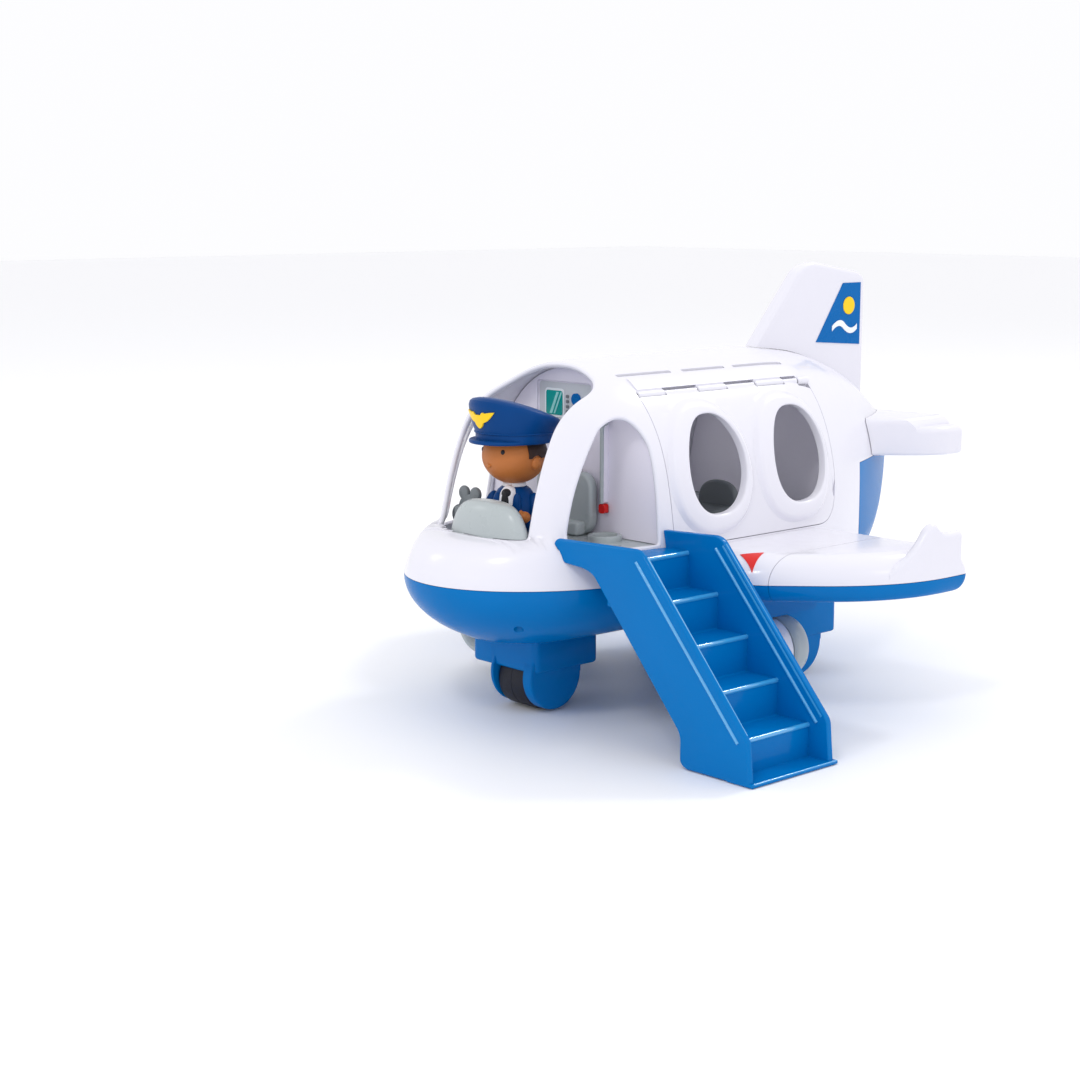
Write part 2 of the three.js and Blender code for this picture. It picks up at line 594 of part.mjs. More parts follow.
function panelStickers() {
  const y = BULKHEAD_Y + 0.8;
  const screen = prismY(roundedRect(-16.5, -7, 129.2, 138, 1.5), y, y + 0.3, 3);
  const dial = prismY(roundedRect(-4, 0.8, 133, 137.6, 1.8), y, y + 0.3, 3);
  const tip = prismY(roundedRect(20.2, 23.6, 87.5, 91.6, 1), BULKHEAD_Y - 3.2, BULKHEAD_Y - 0.2, 3);
  const clip = prismY(roundedRect(20.6, 25.1, 128.6, 131.4, 0.8), BULKHEAD_Y - 3, BULKHEAD_Y - 0.2, 3);
  return [
    meshOf("instrument_screen", screen, TEAL),
    meshOf("instrument_dial", dial, DECAL_BLUE),
    meshOf("wall_lever_grip", tip, RED),
    meshOf("wall_lever_clip", clip, DARK_GREY),
  ];
}

// The rounded cowl of the dashboard under the windscreen.
function cowl(grow) {
  const rings = Array.from({ length: 7 }, (_, i) => {
    const a = (i / 6) * (Math.PI / 2);
    const shrink = Math.max(0.05, Math.cos(a) ** 0.62);
    return Array.from({ length: 18 }, (_, k) => {
      const b = (k / 18) * 2 * Math.PI;
      const x = COWL.x + (COWL.wide + grow) * shrink * Math.cos(b);
      const y = COWL.y + (COWL.deep + grow) * shrink * Math.sin(b);
      return new THREE.Vector3(x, y, COCKPIT_Z + GAP + (COWL.tall + grow) * Math.sin(a));
    });
  });
  return skin(rings);
}

// The cockpit's free space; above the sill it runs out through the windscreen opening.
function cockpitRoom() {
  const below = cabinSpace.intersect(box(-60, 22.5, 0, 90, 60, SILL_Z + 0.3));
  return below.add(box(-27, 27, 19.5, 60, SILL_Z + 0.3, 120));
}

function dashboard() {
  return meshOf("dashboard", cowl(0).intersect(cockpitRoom()), LIGHT_GREY);
}

// The post behind the cowl that the yoke turns in.
function yokeColumn() {
  const { x, y, z, shaft } = YOKE;
  const post = box(x - 2.6, x + 2.6, y - 6, y - 0.6, COCKPIT_Z + GAP, z + 2.6);
  const bore = rod(shaft + 0.3, y - 4.4, y + 5, "y", [x, 0, z], 8);
  return meshOf("yoke_column", post.intersect(cockpitRoom()).subtract(cowl(0.4)).subtract(bore), DARK_GREY);
}

// A flat yoke with two thumb grips on top and a broad handle on either side.
function controlYoke() {
  const { x, y, z, shaft } = YOKE;
  const lobe = (dx, dz, r) => rod(r, y, y + 2.3, "y", [x + dx, 0, z + dz], 12);
  const grips = together([lobe(-3.8, 7.6, 3.2), lobe(3.8, 7.6, 3.2)]);
  const handles = together([lobe(0, 0, 7.4), lobe(-7.2, -2.6, 4.6), lobe(7.2, -2.6, 4.6)]);
  const pivot = rod(shaft, y - 4, y + 1, "y", [x, 0, z], 8);
  return meshOf("control_yoke", together([grips, handles, pivot]), DARK_GREY);
}

function pilotSeat() {
  const base = FLOOR_Z + GAP;
  const back = prismY(roundedRect(-18, 18, base, 105, 7), 78, 83, 4);
  return meshOf("pilot_seat", back.add(box(-15, 15, 72.5, 78.5, base, 83.5)), LIGHT_GREY);
}

// A passenger seat: a cushion block with a rounded back.
function passengerSeat(name, x, y) {
  const base = FLOOR_Z + GAP;
  const cushion = prismZ(roundedRect(x - 12, x + 12, y, y + 20, 3), base, base + 6, 3);
  const back = new THREE.Shape();
  back.moveTo(x - 12, base).lineTo(x - 12, base + 7).quadraticCurveTo(x - 12, base + 17.5, x, base + 17.5);
  back.quadraticCurveTo(x + 12, base + 17.5, x + 12, base + 7).lineTo(x + 12, base);
  return meshOf(name, cushion.add(prismY(back, y + 16, y + 20, 6)), DARK_GREY);
}

// ---- pilot --------------------------------------------------------------------------------
function pilotBody() {
  const { x, y } = PILOT;
  const z = COCKPIT_Z + GAP;
  const trunk = turned(
    [
      [0, z], [10.4, z], [10.8, z + 1], [9.4, z + 10], [10.4, z + 16], [10.7, z + 21],
      [9.8, z + 27], [7, z + 30.4], [4.4, z + 31.6], [0, z + 31.6],
    ],
    "z",
    [x, y, 0],
    16,
  );
  const sleeve = (side) => {
    const shoulder = new THREE.SphereGeometry(5, 9, 6).scale(0.75, 0.9, 2.2);
    return solidOf(shoulder.rotateY(side * -0.22).translate(x + side * 11.6, y - 1, z + 18));
  };
  return meshOf("pilot_body", together([trunk, sleeve(1), sleeve(-1)]), NAVY);
}

function pilotHead() {
  const { x, y, chin, rim } = PILOT;
  const middle = (chin + rim) / 2 + 2.5;
  const sphere = new THREE.SphereGeometry(1, 16, 10).scale(14.4, 14.2, middle - chin);
  const ball = solidOf(sphere.translate(x, y, middle));
  const lobe = (side) => new THREE.SphereGeometry(2.8, 6, 4).translate(x + side * 14.2, y + 1.5, middle - 2);
  const ear = (side) => solidOf(lobe(side));
  const face = together([ball, ear(1), ear(-1)]);
  return meshOf("pilot_head", face.intersect(box(-40, 40, 0, 100, 0, rim - GAP)), SKIN);
}

// A peaked cap: a band, a wide crown that stands taller in front, and a brim.
function pilotCap() {
  const { x, y, rim } = PILOT;
  const ring = (r, z, lift) =>
    Array.from({ length: 18 }, (_, i) => {
      const a = (i / 18) * 2 * Math.PI;
      return new THREE.Vector3(x + r * Math.cos(a), y + r * Math.sin(a), z - lift * Math.sin(a));
    });
  const crown = skin([
    ring(16.2, rim, 0), ring(16.6, rim + 5, 0), ring(17.6, rim + 8, 0.6), ring(19.6, rim + 12, 2.2),
    ring(19.8, rim + 14, 3), ring(18.4, rim + 16.2, 3.6), ring(12, rim + 17.6, 2.6), ring(4, rim + 18, 1),
  ]);
  const peak = new THREE.Shape();
  peak.moveTo(x - 15.5, y - 4).bezierCurveTo(x - 15, y - 27, x + 15, y - 27, x + 15.5, y - 4);
  const brim = prismZ(peak, rim, rim + 1.8, 8);
  return meshOf("pilot_cap", crown.add(brim), NAVY);
}

// ---- stairs -------------------------------------------------------------------------------
// The side wall's outline; the forward wall reaches further over the sill of the door.
function stairWall(inner) {
  const { foot, z0, top } = STAIRS;
  const shape = new THREE.Shape();
  shape.moveTo(foot, 0).lineTo(foot - 1.6, z0 - 1.5).quadraticCurveTo(foot - 2, z0, foot - 3.2, z0 + 1.4);
  shape.lineTo(93, top - 2.4).quadraticCurveTo(90.6, top, 87, top).lineTo(inner + 3, top - 1.4);
  shape.quadraticCurveTo(inner, top - 1.8, inner, top - 4.6).lineTo(inner, 76.6);
  shape.quadraticCurveTo(inner, 74.6, inner + 4, 74.2).lineTo(56, 73.4);
  shape.quadraticCurveTo(62.5, 72.4, 64.8, 69.6).lineTo(112, 15.6).quadraticCurveTo(113.6, 13.4, 113.6, 11);
  shape.lineTo(113.6, 4).quadraticCurveTo(113.8, 0.6, 118, 0);
  return shape;
}

// The folded sheet of treads and risers, as (x, z) points of its top and of its underside.
function stairSheet() {
  const { rise, run, nosing } = STEPS;
  const top = [];
  const under = [];
  for (let i = 1; i <= 5; i += 1) {
    const x = nosing - (i - 1) * run;
    top.push([x, i === 1 ? 0 : (i - 1) * rise], [x, i * rise]);
    under.push([x - WALL, i === 1 ? 0 : (i - 1) * rise - WALL], [x - WALL, i * rise - WALL]);
  }
  top.push([40, 5 * rise]);
  under.push([40, 5 * rise - WALL]);
  return outline([...top, ...under.reverse()]);
}

function stairs() {
  const { y0, y1, wall, foot } = STAIRS;
  const forward = prismY(stairWall(39.5), y0, y0 + wall, 4);
  const aft = prismY(stairWall(52), y1 - wall, y1, 4);
  const sheet = prismY(stairSheet(), y0 + 1, y1 - 1);
  const flange = box(139, foot + 1.2, y0, y1 + 1.6, 0, 1.6);
  return meshOf("boarding_stairs", together([forward, aft, sheet, flange]).subtract(around), BLUE);
}

// ---- assembly -----------------------------------------------------------------------------
const airplane = new THREE.Group();
const port = wings();
const mirrored = (solids) =>
  Object.fromEntries(Object.entries(solids).map(([key, solid]) => [key, solid.mirror([1, 0, 0])]));
const starboard = mirrored(port);

airplane.add(lowerHull(port, starboard), upperShell(port, starboard), tailFin());
[[1, "port"], [-1, "starboard"]].forEach(([side, name]) => {
  const wing = side > 0 ? port : starboard;
  airplane.add(meshOf(`${name}_wing_tip_upper`, wing.topTip, WHITE));
  airplane.add(meshOf(`${name}_wing_tip_lower`, wing.bottomTip, BLUE));
  airplane.add(...sidePanel(side, name), ...engine(side, name), ...finDecals(side, name));
  airplane.add(stabilizer(side, name));
});
airplane.add(...wheel("nose", GEAR.nose));
airplane.add(...wheel("port_main", GEAR.main));
airplane.add(...wheel("starboard_main", [-GEAR.main[0], GEAR.main[1]]));
airplane.add(...cabin(), ...panelStickers(), dashboard(), yokeColumn(), controlYoke(), pilotSeat());
airplane.add(passengerSeat("port_passenger_seat", 20, 142));
airplane.add(passengerSeat("starboard_passenger_seat", -20, 142));
airplane.add(pilotBody(), pilotHead(), pilotCap(), stairs());
airplane.position.set(MIDDLE.x, MIDDLE.y, 0);

const group = new THREE.Group();
group.add(airplane);
export default group;
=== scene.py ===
from math import acos, comb, cos, pi, radians, sin, sqrt

import bmesh
import bpy
import numpy as np
from mathutils import Matrix, Vector


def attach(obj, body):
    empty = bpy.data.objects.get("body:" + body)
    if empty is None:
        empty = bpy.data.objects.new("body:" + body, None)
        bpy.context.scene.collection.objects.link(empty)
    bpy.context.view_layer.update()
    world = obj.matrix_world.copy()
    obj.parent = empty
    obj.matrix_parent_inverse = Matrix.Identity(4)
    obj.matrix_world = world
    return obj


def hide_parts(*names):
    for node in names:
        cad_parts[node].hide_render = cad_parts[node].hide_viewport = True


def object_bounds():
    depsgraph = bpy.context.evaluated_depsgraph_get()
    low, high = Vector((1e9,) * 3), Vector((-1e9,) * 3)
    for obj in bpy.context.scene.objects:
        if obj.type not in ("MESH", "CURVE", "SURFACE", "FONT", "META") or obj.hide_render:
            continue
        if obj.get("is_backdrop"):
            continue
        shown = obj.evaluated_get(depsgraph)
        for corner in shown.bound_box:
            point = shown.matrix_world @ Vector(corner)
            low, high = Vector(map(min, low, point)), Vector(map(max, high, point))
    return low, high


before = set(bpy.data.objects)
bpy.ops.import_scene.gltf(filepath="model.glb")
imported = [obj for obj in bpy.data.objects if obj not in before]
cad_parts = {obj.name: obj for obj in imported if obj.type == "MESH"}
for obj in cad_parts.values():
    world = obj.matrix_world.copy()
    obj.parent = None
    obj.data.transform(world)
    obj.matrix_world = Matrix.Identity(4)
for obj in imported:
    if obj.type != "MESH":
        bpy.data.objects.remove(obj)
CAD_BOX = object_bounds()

# A toy airliner with boarding stairs and a pilot. Shapes are built in millimetres in the airframe's own
# frame (nose tip at y = 0, tail towards +Y, port is +X, +Z up) and moved into the row frame at the end.

# ---- dimensions in millimetres ----
TO_ROW = Matrix.Diagonal((0.001, 0.001, 0.001, 1)) @ Matrix.Translation((-6.75, -153.25, 0))
LENGTH = 306.0
SEAM_Z, CREST_Z = 63.0, 154.0
SEAM_HALF, TUMBLEHOME = 62.0, 0.13
WALL = 2.4
TAIL_START = 183.0
FLOOR_Z, COCKPIT_Z, SILL_Z, BULKHEAD_Y = 77.0, 69.0, 82.3, 84.4
HINGE = (34.5, 0, 139.8)
LUGS = ((106.5, 127.5), (146.5, 166.0), (185.5, 196.0))
ROOF_SLITS = ((87.0, 121.5), (128.5, 157.0), (162.5, 197.0))
WINDOW_YS, WINDOW_Z = (120.2, 176.0), 109.3
WHEEL_R, COVER_Z = 12.9, 16.0
GEARS = (("nose", 0.0, 60.0, 1), ("port_main", 31.0, 190.0, 1), ("starboard_main", -31.0, 190.0, -1))
SCREWS = (("front", 31, 24, 47.9), ("rear", 24, 150, 32.2))
ENGINE_X, ENGINE_Z = 65.5, 24.0
YOKE_X, YOKE_Y, YOKE_Z = -18.5, 38.4, 88.6
STAIR_Y = (36.0, 86.4)


# ---- fuselage surface ----
def curve(points):
    """A smooth curve through points that never overshoots them."""
    xs, ys = np.array(points, float).T
    slope = np.diff(ys) / np.diff(xs)
    product, total = slope[:-1] * slope[1:], slope[:-1] + slope[1:]
    inner = np.where(product <= 0, 0.0, 2 * product / np.where(total == 0, 1, total))
    tangent = np.concatenate([slope[:1], inner, slope[-1:]])

    def value(v):
        v = np.clip(v, xs[0], xs[-1])
        i = np.clip(np.searchsorted(xs, v, side="right") - 1, 0, len(xs) - 2)
        width = xs[i + 1] - xs[i]
        t = (v - xs[i]) / width
        rise = ys[i] * (1 + 2 * t) * (1 - t) ** 2 + ys[i + 1] * t * t * (3 - 2 * t)
        return rise + width * (tangent[i] * t * (1 - t) ** 2 - tangent[i + 1] * t * t * (1 - t))

    return value


front_of = curve([(63, 0), (66, 0.4), (70, 1.6), (75, 4), (79, 8), (81.3, 13), (82.5, 20), (90, 22),
                  (100, 24.3), (112, 28), (120, 31), (130, 35), (138, 41), (144, 50), (149, 61),
                      (152.5, 73), (154, 85)])
full_width_of = curve([(63, 86), (80, 100), (100, 98), (116, 92), (131, 87), (154, 86)])
roof_of = curve([(200, 154), (225, 151), (250, 144), (270, 135), (290, 122), (306, 111)])
keel_of = curve([(0, 62), (2, 56), (5, 50.5), (11, 44), (21, 38), (35, 33), (52, 31), (190, 31), (215, 33),
                 (235, 37), (250, 42), (262, 49), (273, 58), (283, 69), (291, 81), (298, 93), (306, 101)])
waist_of = curve([(222, 63), (250, 66), (270, 74), (285, 86), (296, 97), (306, 104)])
_HEIGHTS = np.linspace(SEAM_Z, CREST_Z, 4000)
_FRONTS = front_of(_HEIGHTS)


def crest_of(y):
    return np.where(y >= 85, roof_of(y), np.interp(y, _FRONTS, _HEIGHTS))


def tail_factor(y):
    u = np.clip((y - TAIL_START) / (LENGTH + 2 - TAIL_START), 0, 1)
    return (1 - u ** 1.4) ** 0.85


def section_half(z):
    t = (z - SEAM_Z) / (CREST_Z - SEAM_Z)
    return (SEAM_HALF - TUMBLEHOME * (z - SEAM_Z)) * np.sqrt(np.clip(1 - t ** 4, 0, None))


def nose_factor(y, z):
    u = np.clip((y - front_of(z)) / (full_width_of(z) - front_of(z)), 0, 1)
    return np.sqrt(np.clip(1 - (1 - u) ** 2, 0, None))


def hull_point(y, angle):
    """A point of the hull: the angle runs from the port seam over the crest and back under the keel."""
    y, angle = np.broadcast_arrays(np.asarray(y, float), np.asarray(angle, float))
    lift, side = np.sin(angle), np.sign(np.cos(angle))
    waist, crest = waist_of(y), crest_of(y)
    z_up = waist + (crest - waist) * np.clip(lift, 0, 1)
    scale = (CREST_Z - SEAM_Z) / (roof_of(y) - waist)
    half_up = section_half(SEAM_Z + (z_up - waist) * scale) * nose_factor(y, z_up) * tail_factor(y)
    low = np.clip(-lift, 0, 1)
    z_low = waist - (waist - keel_of(y)) * low
    half_low = SEAM_HALF * nose_factor(y, SEAM_Z) * tail_factor(y) * (1 - low ** 2.2) ** 0.56
    half, z = np.where(lift >= 0, half_up, half_low), np.where(lift >= 0, z_up, z_low)
    return np.stack([side * half, y, z], -1)


def hull_normal(y, angle, step=0.02):
    along = hull_point(y + step, angle) - hull_point(np.maximum(0.01, y - step), angle)
    around = hull_point(y, angle + step) - hull_point(y, angle - step)
    out = np.cross(around, along)
    out /= np.maximum(np.linalg.norm(out, axis=-1, keepdims=True), 1e-12)
    here = hull_point(y, angle)
    inward = out[..., 0] * here[..., 0] + out[..., 2] * (here[..., 2] - SEAM_Z) < 0
    return np.where(inward[..., None], -out, out)


def hull_at(y, angle, offset=0.0):
    y, angle = np.broadcast_arrays(np.asarray(y, float), np.asarray(angle, float))
    return hull_point(y, angle) + offset * hull_normal(y, angle)


def flank_angle(y, z, side=1):
    """The hull angle at a height of the upper flank."""
    lift = np.clip((z - waist_of(y)) / (crest_of(y) - waist_of(y)), 0, 1)
    rise = np.arcsin(lift)
    return rise if side > 0 else pi - rise


def roof_angle(y, x):
    """The hull angle above a point of the plan."""
    sweep = np.linspace(0.01, pi - 0.01, 1500)
    return np.array([np.interp(-b, -hull_point(a, sweep)[:, 0], sweep) for a, b in zip(y, x)])


def flank_x(y, z, offset=0.0):
    """How far the port flank stands out at (y, z), measured on a surface that lies an offset outside it."""
    half = lambda a, b: hull_point(a, flank_angle(a, b))[..., 0]
    tilt_y = (half(y + 0.1, z) - half(y - 0.1, z)) / 0.2
    tilt_z = (half(y, z + 0.1) - half(y, z - 0.1)) / 0.2
    return half(y, z) + offset * np.sqrt(1 + tilt_y ** 2 + tilt_z ** 2)


# ---- mesh tools ----
def full_turn(steps):
    return np.linspace(0, 2 * pi, steps, endpoint=False)


def link(name, data):
    """A new object in the scene."""
    made = bpy.data.objects.new(name, data)
    bpy.context.scene.collection.objects.link(made)
    return made


def solid(name, points, faces):
    mesh = bpy.data.meshes.new(name)
    mesh.from_pydata([tuple(map(float, p)) for p in points], [], faces)
    work = bmesh.new()
    work.from_mesh(mesh)
    bmesh.ops.recalc_face_normals(work, faces=work.faces)
    work.to_mesh(mesh)
    work.free()
    return link(name, mesh)


def grid_faces(rows, columns, wrap_rows=False):
    faces = []
    for r in range(rows if wrap_rows else rows - 1):
        for c in range(columns):
            a, b = r * columns + c, r * columns + (c + 1) % columns
            step = ((r + 1) % rows) * columns - r * columns
            faces.append((a, b, b + step, a + step))
    return faces


def skin(name, rings):
    """A solid through closed rings, with a fan at both ends."""
    rings = np.asarray(rings, float)
    rows, columns = rings.shape[:2]
    points = np.concatenate([rings.reshape(-1, 3), rings[:1].mean(1), rings[-1:].mean(1)])
    faces, first, last = grid_faces(rows, columns), rows * columns, (rows - 1) * columns
    for c in range(columns):
        d = (c + 1) % columns
        faces += [(first, c, d), (first + 1, last + c, last + d)]
    return solid(name, points, faces)


def loop(name, rings):
    """A ring-shaped solid: closed sections along a closed path."""
    rings = np.asarray(rings, float)
    return solid(name, rings.reshape(-1, 3), grid_faces(rings.shape[0], rings.shape[1], True))


def tube(name, path, radius, normals, closed=True, sides=12):
    """A round bar along a path; the normals stand across the path."""
    path, normals = np.asarray(path, float), np.asarray(normals, float)
    if closed:
        tangent = np.roll(path, -1, 0) - np.roll(path, 1, 0)
    else:
        tangent = np.gradient(path, axis=0)
    tangent /= np.linalg.norm(tangent, axis=1, keepdims=True)
    across = np.cross(tangent, normals)
    across /= np.linalg.norm(across, axis=1, keepdims=True)
    upright = np.cross(across, tangent)
    turn = full_turn(sides)
    ring = upright[:, None] * np.cos(turn)[None, :, None] + across[:, None] * np.sin(turn)[None, :, None]
    rings = path[:, None] + radius * ring
    return loop(name, rings) if closed else skin(name, rings)


def trace(start, *moves, steps=10):
    """An outline of straight lines (an end point) and Bezier curves (control points and an end point)."""
    points = [start]
    for move in moves:
        if np.ndim(move) == 1:
            points.append(move)
            continue
        control, n = np.array([points[-1], *move], float), len(move)
        for t in np.linspace(0, 1, steps + 1)[1:]:
            weights = [comb(n, k) * t ** k * (1 - t) ** (n - k) for k in range(n + 1)]
            points.append(tuple(np.dot(weights, control)))
    return points


def rounded_rect(a0, a1, b0, b1, r, steps=6):
    points = []
    for k, (a, b) in enumerate(((a1 - r, b1 - r), (a0 + r, b1 - r), (a0 + r, b0 + r), (a1 - r, b0 + r))):
        for t in np.linspace(k, k + 1, steps + 1) * pi / 2:
            points.append((a + r * cos(t), b + r * sin(t)))
    return points


ORDER = {"x": (2, 0, 1), "y": (0, 2, 1), "z": (0, 1, 2)}


def place(axis, plane, height):
    """(a, b) of an outline and a height along the axis, as (x, y, z)."""
    source = (plane[0], plane[1], height)
    return tuple(source[k] for k in ORDER[axis])


def prism(name, axis, outline, low, high, bevel=0.0, segments=3):
    """An outline drawn out along an axis: (y, z) along x, (x, z) along y, (x, y) along z."""
    n = len(outline)
    points = [place(axis, p, h) for h in (low, high) for p in outline]
    faces = [tuple(range(n)), tuple(range(n, 2 * n))]
    faces += [(i, (i + 1) % n, (i + 1) % n + n, i + n) for i in range(n)]
    made = solid(name, points, faces)
    if bevel:
        rounded(made, bevel, segments)
    return made


def block(name, x0, x1, y0, y1, z0, z1, bevel=0.0, segments=3):
    return prism(name, "z", [(x0, y0), (x1, y0), (x1, y1), (x0, y1)], z0, z1, bevel, segments)


def turned(name, axis, profile, at, sides=64):
    """A solid turned about an axis through a point, from (radius, height) points."""
    turn = full_turn(sides)
    keep = [p for p in profile if p[0] > 0]
    rings = []
    for r, h in keep:
        rings.append([np.add(at, place(axis, (r * cos(t), r * sin(t)), h)) for t in turn])
    if profile[0] == profile[-1]:
        rings = np.swapaxes(np.array(rings[:-1]), 0, 1)
        return loop(name, rings)
    return skin(name, rings)


def rod(axis, r, low, high, at, sides=24):
    return turned("rod", axis, [(r, low), (r, high)], at, sides)


def apply_modifiers(made):
    graph = bpy.context.evaluated_depsgraph_get()
    mesh = bpy.data.meshes.new_from_object(made.evaluated_get(graph))
    made.modifiers.clear()
    old, made.data = made.data, mesh
    bpy.data.meshes.remove(old)
    return made


def rounded(made, width, segments=3, angle=40.0):
    bevel = made.modifiers.new("round", "BEVEL")
    bevel.width, bevel.segments = width, segments
    bevel.limit_method, bevel.angle_limit = "ANGLE", radians(angle)
    return apply_modifiers(made)


def discard(*objects):
    for one in objects:
        bpy.data.objects.remove(one)


def combine(made, operation, *others, keep=False):
    for other in others:
        step = made.modifiers.new("combine", "BOOLEAN")
        step.operation, step.object, step.solver = operation, other, "MANIFOLD"
    apply_modifiers(made)
    if not len(made.data.polygons):
        raise RuntimeError(f"{made.name}: {operation} left nothing")
    if not keep:
        discard(*others)
    return made


def cut(made, *others, keep=False):
    return combine(made, "DIFFERENCE", *others, keep=keep)


def join(made, *others, keep=False):
    return combine(made, "UNION", *others, keep=keep)


def common(made, *others, keep=False):
    return combine(made, "INTERSECT", *others, keep=keep)


def copied(made, name, flip=False):
    other = link(name, made.data.copy())
    if flip:
        other.data.transform(Matrix.Diagonal((-1, 1, 1, 1)))
        other.data.flip_normals()
    return other


def ellipsoid(name, at, radii, turn=0.0, segments=40, rings=24):
    """An egg or ball, turned about the vertical by degrees."""
    theta = np.linspace(0, pi, rings + 1)[1:-1]
    phi = full_turn(segments)
    rows = [[(sin(t) * cos(p), sin(t) * sin(p), cos(t)) for p in phi] for t in theta]
    made = skin(name, rows)
    spin = Matrix.Rotation(radians(turn), 4, "Z")
    made.data.transform(Matrix.Translation(at) @ spin @ Matrix.Diagonal((*radii, 1)))
    return made


# ---- materials ----
def srgb(r, g, b):
    values = (r / 255, g / 255, b / 255)
    return (*(c / 12.92 if c <= 0.04045 else ((c + 0.055) / 1.055) ** 2.4 for c in values), 1.0)


def scaled(color, factor):
    return tuple(min(1.0, c * factor) for c in color[:3]) + (1.0,)


def plastic(name, color, rough, spread=0.05, grain=0.02, coat=0.0, wear_and_sheen=1.12, mottle=0.05, metallic=0.0,
            specular=0.3):
    """Moulded plastic: a slow drift of tint, fine surface grain, uneven gloss and paler edges, partly rubbed
    wear and partly a painted highlight.
    """
    made = bpy.data.materials.new(name)
    made.use_nodes = True
    tree = made.node_tree
    shader = tree.nodes["Principled BSDF"]

    def fill(target, **values):
        for label, value in values.items():
            target.inputs[label.replace("_", " ")].default_value = value

    def wire(source, output, target, entry):
        tree.links.new(source.outputs[output], target.inputs[entry])

    def noise(scale, detail, target, entry):
        node = tree.nodes.new("ShaderNodeTexNoise")
        fill(node, Scale=scale, Detail=detail)
        wire(where, "Object", node, "Vector")
        wire(node, "Fac", target, entry)

    fill(shader, Metallic=metallic, Specular_IOR_Level=specular, Coat_Weight=coat, Coat_Roughness=0.08)
    where, shape, drift, edge, rub_and_sheen, gloss, bump = (tree.nodes.new("ShaderNode" + kind) for kind in (
        "TexCoord", "NewGeometry", "Mix", "MapRange", "Mix", "MapRange", "Bump"))
    drift.data_type = rub_and_sheen.data_type = "RGBA"
    fill(drift, A=scaled(color, 1 - mottle), B=scaled(color, 1 + mottle))
    noise(45.0, 3.0, drift, "Factor")
    # Paler where the surface is pointy: partly rubbed wear, partly a painted highlight along the edges.
    fill(edge, From_Min=0.57, From_Max=0.72, To_Max=0.4)
    wire(shape, "Pointiness", edge, "Value")
    fill(rub_and_sheen, B=scaled(color, wear_and_sheen))
    wire(edge, "Result", rub_and_sheen, "Factor")
    wire(drift, "Result", rub_and_sheen, "A")
    wire(rub_and_sheen, "Result", shader, "Base Color")
    fill(gloss, To_Min=max(0.05, rough - spread), To_Max=rough + spread)
    noise(160.0, 4.0, gloss, "Value")
    wire(gloss, "Result", shader, "Roughness")
    fill(bump, Strength=grain, Distance=0.0004)
    noise(1400.0, 2.0, bump, "Height")
    wire(bump, "Normal", shader, "Normal")
    return made


BLUE = plastic("blue_plastic", srgb(0, 112, 184), 0.22, coat=0.14, grain=0.03, specular=0.03)
# A paler, glossy blue for the stair edges: the pale colour is a painted highlight along them.
GLOSS_BLUE_PAINTED_HIGHLIGHT = plastic("glossy_blue_painted_highlight", srgb(62, 158, 216), 0.14, coat=1.0,
                        grain=0.02, specular=0.8)
WHITE = plastic("white_plastic", srgb(229, 228, 237), 0.22, coat=0.2, grain=0.03,
                mottle=0.008, wear_and_sheen=1.01)
INNER_WHITE = plastic("inner_white_plastic", srgb(240, 236, 248), 0.4, grain=0.05,
                      mottle=0.015, wear_and_sheen=1.0)
LIGHT_GREY = plastic("light_grey_plastic", srgb(176, 184, 186), 0.28, spread=0.03, coat=0.15,
                     grain=0.015)
PALE_GREY = plastic("pale_grey_plastic", srgb(205, 209, 214), 0.33, grain=0.05)
# Dark grey: the own colour of the small keys and the lever clip, and painted shade on the yoke and the cabin
# seats, which are light grey plastic in shade.
DARK_GREY_AND_PAINTED_SHADE = plastic("dark_grey_and_painted_shade_plastic", srgb(116, 122, 126), 0.38, grain=0.06)
TYRE = plastic("tyre_plastic", srgb(24, 26, 38), 0.5, spread=0.1, grain=0.25, mottle=0.15,
               wear_and_sheen=1.9)
NAVY = plastic("navy_cloth_paint", srgb(0, 62, 124), 0.36, grain=0.15, mottle=0.08, specular=0.12)
SKIN = plastic("brown_face_paint", srgb(186, 112, 56), 0.45, grain=0.12, mottle=0.07)
HAIR = plastic("dark_hair_paint", srgb(52, 34, 28), 0.5, grain=0.4, mottle=0.2)
SHIRT = plastic("white_shirt_paint", srgb(236, 236, 242), 0.5, grain=0.2, mottle=0.03)
TIE = plastic("black_tie_paint", srgb(28, 30, 36), 0.45, grain=0.3, mottle=0.15)
YELLOW = plastic("yellow_print", srgb(248, 206, 18), 0.35, grain=0.05)
RED = plastic("red_print", srgb(222, 36, 34), 0.3, grain=0.05)
TEAL = plastic("teal_print", srgb(0, 152, 146), 0.2, grain=0.03)
PALE_TEAL = plastic("pale_teal_print", srgb(150, 216, 214), 0.2, grain=0.03)
PRINT_BLUE = plastic("blue_print", srgb(0, 100, 172), 0.28, grain=0.04, specular=0.1)
PRINT_WHITE = plastic("white_print", srgb(240, 243, 248), 0.3, grain=0.04, mottle=0.02)
# Near black for the screw heads: painted shade standing for the dark of the screw holes.
SCREW_HOLE_SHADE = plastic("screw_hole_painted_shade", srgb(28, 30, 36), 0.45, grain=0.3, mottle=0.15)
STEEL = plastic("steel_pin", srgb(168, 170, 176), 0.3, grain=0.1, metallic=1.0)


def piece(made, material, *nodes, body="airframe"):
    """Moves a finished shape into the row frame, shades it and puts it on its body."""
    made.data.transform(TO_ROW)
    made.data.shade_smooth()
    made.data.set_sharp_from_angle(angle=radians(32.0))
    made.data.materials.clear()
    made.data.materials.append(material)
    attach(made, body)
    if nodes:
        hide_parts(*nodes)
    return made


